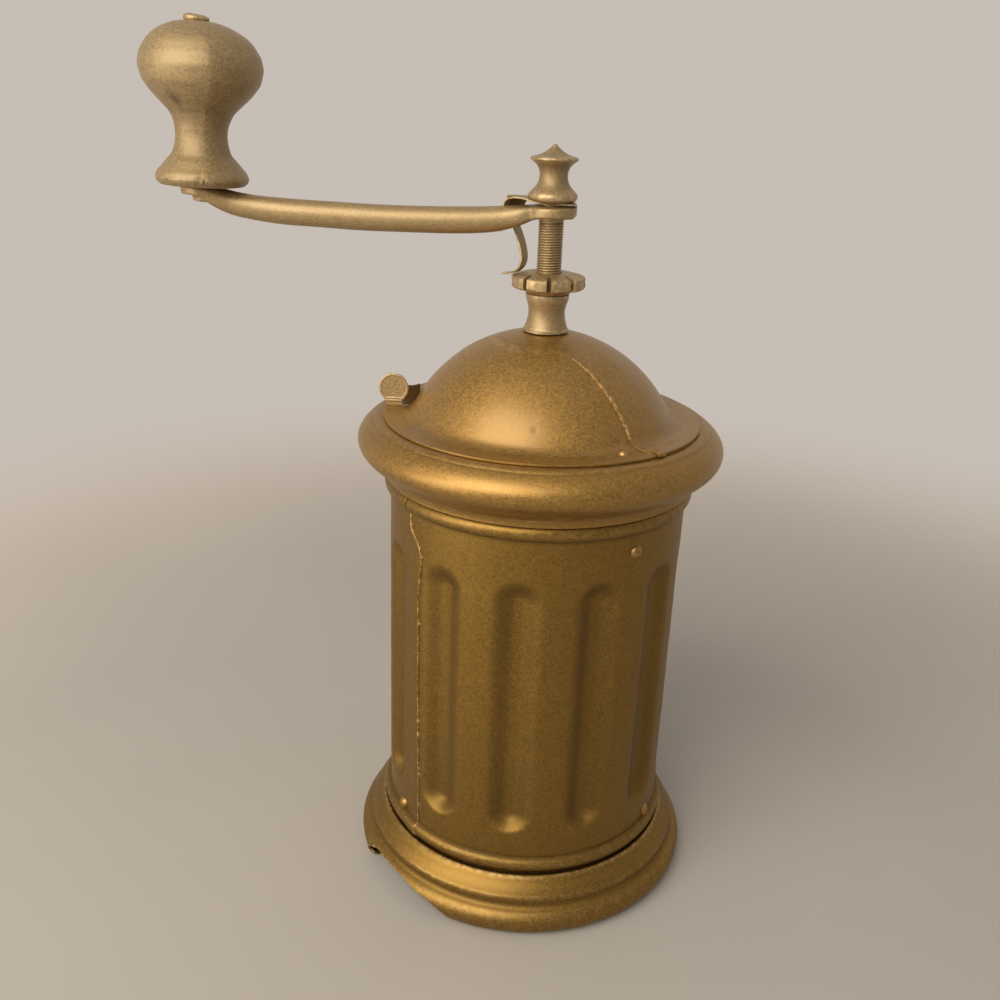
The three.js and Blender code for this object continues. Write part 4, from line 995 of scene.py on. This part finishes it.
def makeNut(v):
    # A disc with a conical top. Its radius drops to the slot's floor where the distance from a
    # lug's middle line passes half of the lug, and each lug's end face is a little rough.
    pitch = 360 / v["lugs"]
    half = pitch / 2 - math.degrees(v["slot"] / 2 / v["radius"])
    corner = np.array([-0.02, 0.35, 1.1])
    within = np.unique(np.r_[0.01 - pitch / 2, -half - 0.8, corner - half,
                             np.linspace(2 - half, half - 2, 11), half - corner, half + 0.8])
    middles = v["turn"] + pitch * (np.arange(v["lugs"]) + 0.5)
    turns = (middles[:, None] + within[None, :]).ravel()
    inLug = np.tile(np.abs(within) < half, v["lugs"])
    rounding = np.tile(clamped((half - np.abs(within)) / 1.1) ** 0.5, v["lugs"])
    rim = v["radius"] - 0.45 * (1 - rounding)
    value, rise, cut = (column[:, None] for column in np.array(v["rows"], float).T)
    radius = np.where(value <= 0, rim + value, value + 0 * rim)
    slotFloor = np.minimum(radius, v["radius"] - v["slotDepth"])
    radius = np.where((cut == 1) & ~inLug, slotFloor, radius)
    rough = np.random.default_rng(21).normal(0, v["rough"], radius.shape) * (radius > 9.5)
    radius = radius + rough - 0.05
    outer = radius > 9.9
    # painted shade on the slots' floors; the lugs' end faces are rubbed pale
    masks = dict(hollow=~inLug * 0.8 * (radius < 9) * (radius > 7.2), proud=0.9 * outer,
                 scuff=0.35 * outer)
    return makePiece("lugged_nut", aroundAxis(radius, turns[None, :], v["foot"] + rise),
                     "setting_nut", goldCast, "star_nut", masks, closeRows=True,
                     crease=32)


makeNeck(neckValues)
makeSpindle(threadValues)
makeNut(nutValues)
print("neck, spindle and nut made")


armValues = dict(
    eye=7.0, eyeTop=210.17, eyeHalf=1.65, throw=98.75, tilt=1.7, uneven=0.05,
    endLength=6.1, endHalf=1.25, endWidth=5.4, endTop=211.6,
    # distances from the axis with the bar's top and half height there, the eye and the end apart
    places=(10, 14.5, 17.5, 23, 31, 40, 48, 57, 65, 71, 77, 82.5, 88, 91.4, 94.3),
    tops=(209.9, 209.55, 209.25, 208.95, 208.65, 208.52, 208.48, 208.6, 208.78, 208.9, 209.15,
          209.45, 210.05, 210.65, 211.2),
    halves=(3.0, 3.5, 3.6, 3.68, 3.68, 3.7, 3.68, 3.68, 3.68, 3.65, 3.62, 3.5, 3.38, 3.2, 2.75),
    # the same for how square its section is and for its half width
    squareAt=(0, 4.5, 7.5, 10, 14.5, 80, 88, 92, 95, 98),
    squares=(6, 5, 3.4, 2.5, 2.1, 2, 2.2, 2.6, 3.8, 6),
    widthAt=(0, 4, 9, 14, 84, 90, 96, 99, 110),
    widths=(3.5, 4.2, 3.9, 3.6, 3.6, 3.8, 4.9, 5.4, 5.4),
)


def makeArm(v):
    # A bar along -X whose section is |y/w|^n + |z/h|^n = 1. Width, height, top and n change along
    # it: a round flat eye, a round bar that sags between its ends, and a flattened, rounded end.
    eye, throw, end = v["eye"], v["throw"], v["throw"] + v["endLength"]
    quarter = np.pi / 2
    s = np.unique(np.round(np.r_[
        -eye + (1 - np.cos(np.linspace(0, quarter, 22))) * eye, np.linspace(0, 14, 29),
        np.linspace(14, 84, 71), np.linspace(84, throw, 30),
        end - v["endLength"] * (1 - np.sin(np.linspace(0, quarter, 16)))], 4))
    lean = math.tan(math.radians(v["tilt"]))
    places = (-8, 0, 4.5, 7.5) + v["places"] + (97.2, 99.5, 105)
    endTops = (v["endTop"] - 1.55 * lean, v["endTop"], v["endTop"] + 6 * lean)
    top = np.interp(s, places, 3 * (v["eyeTop"],) + (v["eyeTop"] - 0.2,) + v["tops"] + endTops)
    halfHeight = np.interp(s, places, (v["eyeHalf"], v["eyeHalf"], 1.8, 2.5) + v["halves"]
                           + (1.9, v["endHalf"], v["endHalf"]))
    square = np.interp(s, v["squareAt"], v["squares"])
    for values in (top, halfHeight, square):
        values[2:-2] = np.convolve(values, np.ones(5) / 5, mode="same")[2:-2]
    eyeWidth = np.sqrt(np.maximum(eye ** 2 - s ** 2, 0))
    barWidth = np.interp(s, v["widthAt"], v["widths"])
    pastThrow = 1 - ((s - throw) / (end - throw)) ** 2
    endWidth = np.where(s > throw, np.sqrt(np.maximum(pastThrow, 0)) * v["endWidth"], 99)
    width = np.where(s < 0, eyeWidth, np.maximum(eyeWidth, barWidth))
    width = np.maximum(np.minimum(width, endWidth), 0.02)
    rounded = clamped(np.minimum((s + eye) / 1.2, (end - s) / 0.6)) ** 0.5
    halfHeight = halfHeight * (0.6 + 0.4 * rounded)
    s, top, halfHeight, width, power = (
        values[:, None] for values in (s, top, halfHeight, width, 2 / square))
    a = np.linspace(0, 2 * np.pi, 64, endpoint=False)[None, :]
    Y = width * np.sign(np.cos(a)) * np.abs(np.cos(a)) ** power
    Z = top - halfHeight + halfHeight * np.sign(np.sin(a)) * np.abs(np.sin(a)) ** power
    Z = Z + softNoise(s * 3 + 0 * Z, Z * 3, 9, v["uneven"]) * clamped((s - 8) / 6)
    grid = np.stack([-s + 0 * a, Y, Z], axis=-1)
    # both ends close on their middle points
    middles = [np.repeat(row.mean(1, keepdims=True), grid.shape[1], 1)
               for row in (grid[:1], grid[-1:])]
    grid = np.concatenate([middles[0], grid, middles[1]])
    s = np.pad(s, ((1, 1), (0, 0)), mode="edge")
    rimBand = clamped(1 - np.minimum(np.abs(s + eye), np.abs(s - end)) / 2)
    # painted shade in a band across the bar at the finial's rim; the ends are rubbed pale
    return makePiece("crank_bar", grid, "crank", goldCast, "crank_arm",
                     dict(hollow=0.5 * bell(s - 7, 1.5), proud=0.6 * rimBand), crease=50)


finialValues = dict(foot=210.7, top=15.8, uneven=0.03)


def makeFinial(v):
    runs = [
        [(0, v["top"]), (0.35, 15.7), (0.9, 15.1)],
        [(0.9, 15.1), (2.0, 14.2), (3.4, 13.35), (5.0, 12.75), (6.2, 12.45)],
        [(6.2, 12.45), (6.6, 12.2), (6.7, 11.85), (6.45, 11.5)],
        [(6.45, 11.5), (5.5, 10.8), (4.6, 9.9), (4.05, 8.7), (3.92, 7.5), (4.1, 6.2), (4.65, 5.0),
         (5.5, 4.0), (6.35, 3.2), (6.85, 2.5), (6.95, 1.9), (6.7, 1.2), (6.0, 0.7)],
        [(6.0, 0.7), (5.2, 0.25), (4.6, 0), (0, 0)],
    ]
    outline = outlineOf(runs, 0.22) + [0, v["foot"]]
    return lathe("finial", outline, "crank", goldCast, "finial_nut", sides=80,
                 uneven=v["uneven"], seed=6)


knobValues = dict(
    foot=(-98.75, 0, 211.87), tilt=1.7, height=42.3, uneven=0.08,
    # the side from the top down: radius and height
    side=((0.5, 42.25), (4.5, 41.9), (7.5, 41.2), (10.9, 39.75), (13.25, 38.3), (14.75, 36.85),
          (15.8, 35.35), (16.7, 33.85), (17.1, 32.45), (17.35, 30.9), (17.2, 29.6), (16.9, 28.3),
          (16.4, 26.8), (15.3, 25.2), (14.0, 23.6), (12.5, 22.1), (10.8, 20.5), (9.3, 19),
          (8.4, 17.5), (7.75, 16.1), (7.35, 14.6), (7.2, 13.3), (7.3, 11.5), (7.6, 9.8),
          (8.2, 8.1), (9.6, 6.5), (11, 4.8), (12.4, 3.1), (12.8, 1.8)),
    ridgeTurn=27, wornTurn=-150,    # the side is carved away between these, ridged at the first
    carveHeights=(0, 7.8, 11.8, 14.7, 17.6, 22.2, 26, 29.9, 34.4, 38, 40.8, 42),
    carveDepths=(0, 0.1, 0.3, 0.45, 0.9, 1.4, 1.6, 1.6, 1.5, 1.2, 0.5, 0),
    dent=(-15, 22, 8, 1.7, 0.4),    # turn, height, half widths in degrees and mm, depth
    chips=((12.5, 3.4), (16.5, 4.2), (20.5, 3.0), (24, 2.4), (-30, 2.2)),    # turn and height
)


def makeKnob(v):
    # Turned wood: radius = profile(z) - carve(z) sin(90 share), where share runs from 0 at the
    # ridge to 1 some way round the carved side.
    outline = outlineOf([
        [(0, v["height"]), v["side"][0]], v["side"],
        [v["side"][-1], (12.55, 1.1), (12.1, 0.5), (11.6, 0)], [(11.6, 0), (0, 0)]], 0.35)
    turns = turnSteps(160, -180)
    T, Z, R = np.broadcast_arrays(turns[None, :], outline[:, 1:], outline[:, :1])
    share = clamped((v["ridgeTurn"] - T) / 40)
    carve = np.interp(Z, v["carveHeights"], v["carveDepths"]) * np.sin(np.pi / 2 * share)
    carve = carve * eased((T - v["wornTurn"]) / 70)
    dentTurn, dentHeight, wide, high, deep = v["dent"]
    aside = T - dentTurn
    dent = bell(aside, wide) * bell(Z - dentHeight + 0.06 * aside, high)
    chips = sum(bell(T - turn, 0.9) * clamped((height - Z) / 1.2) for turn, height in v["chips"])
    chips = clamped(chips * clamped((Z - 0.3) / 0.6))
    ragged = 0.12 * bell(Z - 0.9, 0.9) * np.sin(np.radians(T) * 23 + 3 * waves(T, 7)) * (R > 9)
    away = np.minimum(carve + deep * dent + 0.4 * chips + ragged, 0.5 * R)
    new = R - away + softNoise(T, Z * 0.5, 14, v["uneven"]) * (R > 2)
    hollow, proud = bends(outline, 3)
    ridge = bell(T - v["ridgeTurn"], 1.6) * clamped((Z - 20) / 4) * clamped((39 - Z) / 5)
    # painted shade in the hollows, in the dent and round the foot; the chips are darker, the ridge
    # rubbed paler
    lower = bell(Z - 1.0, 1.1)
    masks = dict(hollow=clamped(0.4 * hollow + 0.8 * dent + 0.5 * chips + 0.15 * lower),
                 proud=clamped(0.3 * proud + 0.5 * ridge), scuff=0.4 * chips)
    grid = placed(aroundAxis(new * (R > 0), T, Z), tilt=v["tilt"], at=v["foot"])
    return makePiece("turned_knob", grid, "knob", goldWood, "knob", masks,
                     crease=50)


def makePin(v):
    # a riveted pin: a flat head with a raised rim above the knob, a flattened burr under the arm
    head = v["height"]
    outline = outlineOf([
        [(0, head + 1.3), (1.6, head + 1.28), (2.4, head + 1.2), (2.95, head + 1.02)],
        [(2.95, head + 1.02), (3.3, head + 0.8), (3.42, head + 0.5), (3.38, head),
         (3.1, head - 0.5)],
        [(3.1, head - 0.5), (2.0, head - 0.6), (2.0, 0)],
        [(2.0, 0), (2.0, -2.75)],
        [(2.0, -2.75), (2.9, -2.95), (3.5, -3.5), (3.1, -4.2), (1.6, -4.65), (0, -4.7)],
    ], 0.22)
    turns = turnSteps(56)
    grid = sweep(outline, turns)
    T, Z = np.broadcast_arrays(turns[None, :], outline[:, 1:])
    upper, lower = clamped(Z - head), clamped((-2.6 - Z) / 0.6)
    grid[..., 2] -= upper * (0.09 * grid[..., 0] + 0.08 * waves(T, 3, 40))
    grid[..., :2] *= (1 + lower * (0.2 * waves(T, 2, 30) + 0.06 * waves(T, 5)))[..., None]
    grid = placed(grid, tilt=v["tilt"], at=v["foot"])
    # painted shade in the hollows of the head and burr
    hollow, proud = bends(outline, 1.0)
    return makePiece("knob_rivet", grid, "crank", goldCast, "knob_pin",
                     dict(hollow=hollow, proud=proud))


clipValues = dict(
    level=210.25, sheet=0.4, leafSheet=0.55, leafWidth=4, leafTurn=27,
    # strap: curled over the eye's right edge, under the finial, bowing up over the arm, down behind
    # it; heights of the strap and of the leaf's top count from level
    strap=((6.7, -0.4, -0.05), (6.3, -0.4, 0.3), (5.2, -0.3, 0.42), (3, 0, 0.4), (-2, 0, 0.42),
           (-4.2, 0.2, 0.75), (-5.8, 0.5, 1.2), (-8, 1.0, 1.6), (-9.9, 1.6, 1.55),
           (-11.5, 2.2, 1.0), (-12.5, 2.5, 0.1), (-13.0, 2.6, -0.9)),
    strapAt=(-13.2, -10, -5, 3, 6, 7.2), strapWidths=(6.4, 7.6, 8.6, 9.5, 8.2, 6.0),
    # leaf: behind the arm, down and forward to the nut, with a curled foot and a thin tail
    leafTop=((-9.8, 5.0, 1.6), (-10.0, 5.7, 0.8), (-10.3, 6.1, -1), (-10.4, 6.1, -3.6),
             (-10.1, 5.8, -5.6)),
    leafFoot=((-9.24, 5, 202.6), (-8.3, 3.6, 200.5), (-7.4, 2.2, 197.7), (-7.05, 1.2, 195.8),
              (-7.15, 0.3, 194.3), (-7.6, -0.6, 193.1), (-8.9, -1.7, 191.85),
              (-10.8, -2.4, 191.35), (-12.9, -2.8, 191.1)),
)


def ribbon(name, path, across, sheet, nodes=()):
    # a band: each point of the path is spread both ways along its own direction
    side = np.linspace(-0.5, 0.5, 9)[None, :]
    grid = path[:, None, :] + across[:, None, :] * side[..., None]
    return makePiece(name, grid, "crank", goldCast, nodes,
                     dict(hollow=0.1, proud=clamped(60 * side ** 6)), closeCols=False, sheet=sheet)


def makeClip(v):
    up = np.array([0, 0, v["level"]])
    path = curveThrough(v["strap"] + up)
    d = np.gradient(path, axis=0)
    across = np.stack([-d[:, 1], d[:, 0], 0 * d[:, 0]], axis=1)
    across = across / np.maximum(np.linalg.norm(across, axis=1, keepdims=True), 1e-6)
    # where the strap runs straight down its own way gives no width, so the nearest good one serves
    good = np.flatnonzero(np.hypot(d[:, 0], d[:, 1]) > 0.1 * np.linalg.norm(d, axis=1))
    nearest = good[np.abs(good[None, :] - np.arange(len(path))[:, None]).argmin(1)]
    across = across[nearest] * np.interp(path[:, 0], v["strapAt"], v["strapWidths"])[:, None]
    ribbon("click_strap", path[::-1], across[::-1], v["sheet"], "click_spring")
    path = curveThrough(np.vstack([v["leafTop"] + up, v["leafFoot"]]))
    # behind the arm it is as wide as the strap, and it narrows and turns on its way down
    part = eased((v["level"] + 1.6 - path[:, 2:]) / 7)
    a = math.radians(v["leafTurn"])
    low = v["leafWidth"] * np.array([[math.sin(a), math.cos(a), 0.0]])
    across = (1 - part) * np.array([[6.0, 1.2, 0.0]]) + part * low
    taper = np.interp(np.linspace(0, 1, len(path)), [0, 0.7, 0.85, 1], [1.0, 0.95, 0.8, 0.45])
    ribbon("click_leaf", path, across * taper[:, None], v["leafSheet"])


makeArm(armValues)
makeFinial(finialValues)
makeKnob(knobValues)
makePin(knobValues)
makeClip(clipValues)
print("crank made")


cupValues = dict(radius=41.2, top=58, corner=2.5, sheet=0.8, uneven=0.04)


def makeCup(v):
    # a side, a rounded corner and a floor, and the same again inside by the sheet's thickness
    flat = v["radius"] - v["corner"]
    path = outlineOf([[(v["radius"], v["top"]), (v["radius"], v["corner"])],
                      arcPoints(flat, v["corner"], v["corner"], 0, -90, 8),
                      [(flat, 0), (0.01, 0)]], 1.2)
    d = np.gradient(path, axis=0)
    normal = np.stack([d[:, 1], -d[:, 0]], axis=1) / np.linalg.norm(d, axis=1)[:, None]
    outline = np.vstack([path, (path + normal * v["sheet"])[::-1]])
    return lathe("ground_cup", outline, "base", tinSheet, "catch_cup", sides=128,
                 uneven=v["uneven"], seed=1)


# the pieces that show as their solids are, and what they are made of
insideLooks = {
    "socket_sleeve": tinSheet, "hopper_funnel": tinSheet, "burr_bracket": ironCast,
    "cone_burr": ironCast, "ring_burr": ironCast, "guide_bridge": ironCast,
    "bridge_screw_1": steelBar, "bridge_screw_2": steelBar, "burr_washer": steelBar,
    "burr_nut": steelBar,
}
makeCup(cupValues)
for name, material in insideLooks.items():
    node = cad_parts[name]
    node.data.materials.clear()
    node.data.materials.append(material)
print("inside made")


stageValues = dict(
    floor=(0.42, 0.395, 0.365, 1), farPaintedLight=(0.72, 0.66, 0.6, 1), cloudShade=0.96,
    reach=0.62, paleFrom=0.16, fadeFrom=0.32, fadeTo=0.58,    # metres
    skyStrong=(0.57, 0.515, 0.465, 1), skyWeak=(0.38, 0.345, 0.31, 1),
    skyLean=(-0.2, 0.75, 0.25),    # brighter behind and to the left, dimmer in front and right
    lampsAim=0.12,    # the height that they look at
)


def makeFloor(v):
    # a round floor whose colour is painted paler towards its rim, painted light that makes up for
    # the lamp's fall-off, and that fades into the room
    ring = sweep(np.array([[v["reach"], 0.0]]), turnSteps(96))[0]
    mesh = bpy.data.meshes.new("floor")
    mesh.from_pydata(ring.tolist(), [], [list(range(96))])
    floor = addObject("floor", mesh)
    material = bpy.data.materials.new("paleFloor")
    material.use_nodes = True
    n = nodeTools(material.node_tree)
    surface = material.node_tree.nodes["Principled BSDF"].inputs
    n.feed(surface["Roughness"], 0.8)
    n.feed(surface["Specular IOR Level"], 0.2)
    spot = n.make("TexCoord").outputs["Object"]
    cloud = n.texture("TexNoise", spot, 9.0, Detail=4.0)["Fac"]
    clouded = tuple(v["cloudShade"] * c for c in v["floor"][:3]) + (1,)
    shade = n.mix(n.ramp(cloud, 0.3, 0.7), v["floor"], clouded)
    far = n.make("VectorMath", operation="LENGTH")
    n.feed(far.inputs[0], spot)
    away = far.outputs["Value"]
    shade = n.mix(n.ramp(away, v["paleFrom"], v["fadeTo"]), shade, v["farPaintedLight"])
    n.feed(surface["Base Color"], shade)
    n.feed(surface["Alpha"], n.ramp(away, v["fadeTo"], v["fadeFrom"]))
    mesh.materials.append(material)


lampValues = dict(
    softLight=dict(turn=-32, rise=36, away=0.95, size=0.8, power=9.5, colour=(1.0, 0.93, 0.82)),
    sideLight=dict(turn=-58, rise=4, away=0.75, size=0.45, power=1.9, colour=(1.0, 0.9, 0.76)),
)


def makeLamp(name, v, aim):
    # a square lamp at a turn, a rise and a distance from the point that it looks at
    lamp = addObject(name, bpy.data.lights.new(name, "AREA"))
    a, e = math.radians(v["turn"]), math.radians(v["rise"])
    back = np.array([math.sin(a) * math.cos(e), -math.cos(a) * math.cos(e), math.sin(e)])
    side = np.cross([0, 0, 1], back)
    side = side / np.linalg.norm(side)
    lamp.matrix_world = aimed(side, np.cross(back, side), back, back * v["away"] + [0, 0, aim])
    lamp.data.shape = "SQUARE"
    lamp.data.size = v["size"]
    lamp.data.energy = v["power"]
    lamp.data.color = v["colour"]


def makeRoom(v):
    world = bpy.data.worlds.new("room")
    bpy.context.scene.world = world
    world.use_nodes = True
    n = nodeTools(world.node_tree)
    way = n.make("SeparateXYZ")
    n.feed(way.inputs[0], n.make("TexCoord").outputs["Generated"])
    x, y, z = (n.times(way.outputs[k], v["skyLean"][k]) for k in range(3))
    sky = n.mix(n.ramp(n.plus(n.plus(x, y), z), -0.6, 0.5), v["skyWeak"], v["skyStrong"])
    n.feed(world.node_tree.nodes["Background"].inputs["Color"], sky)


makeFloor(stageValues)
for name, values in lampValues.items():
    makeLamp(name, values, stageValues["lampsAim"])
makeRoom(stageValues)
print("stage made")
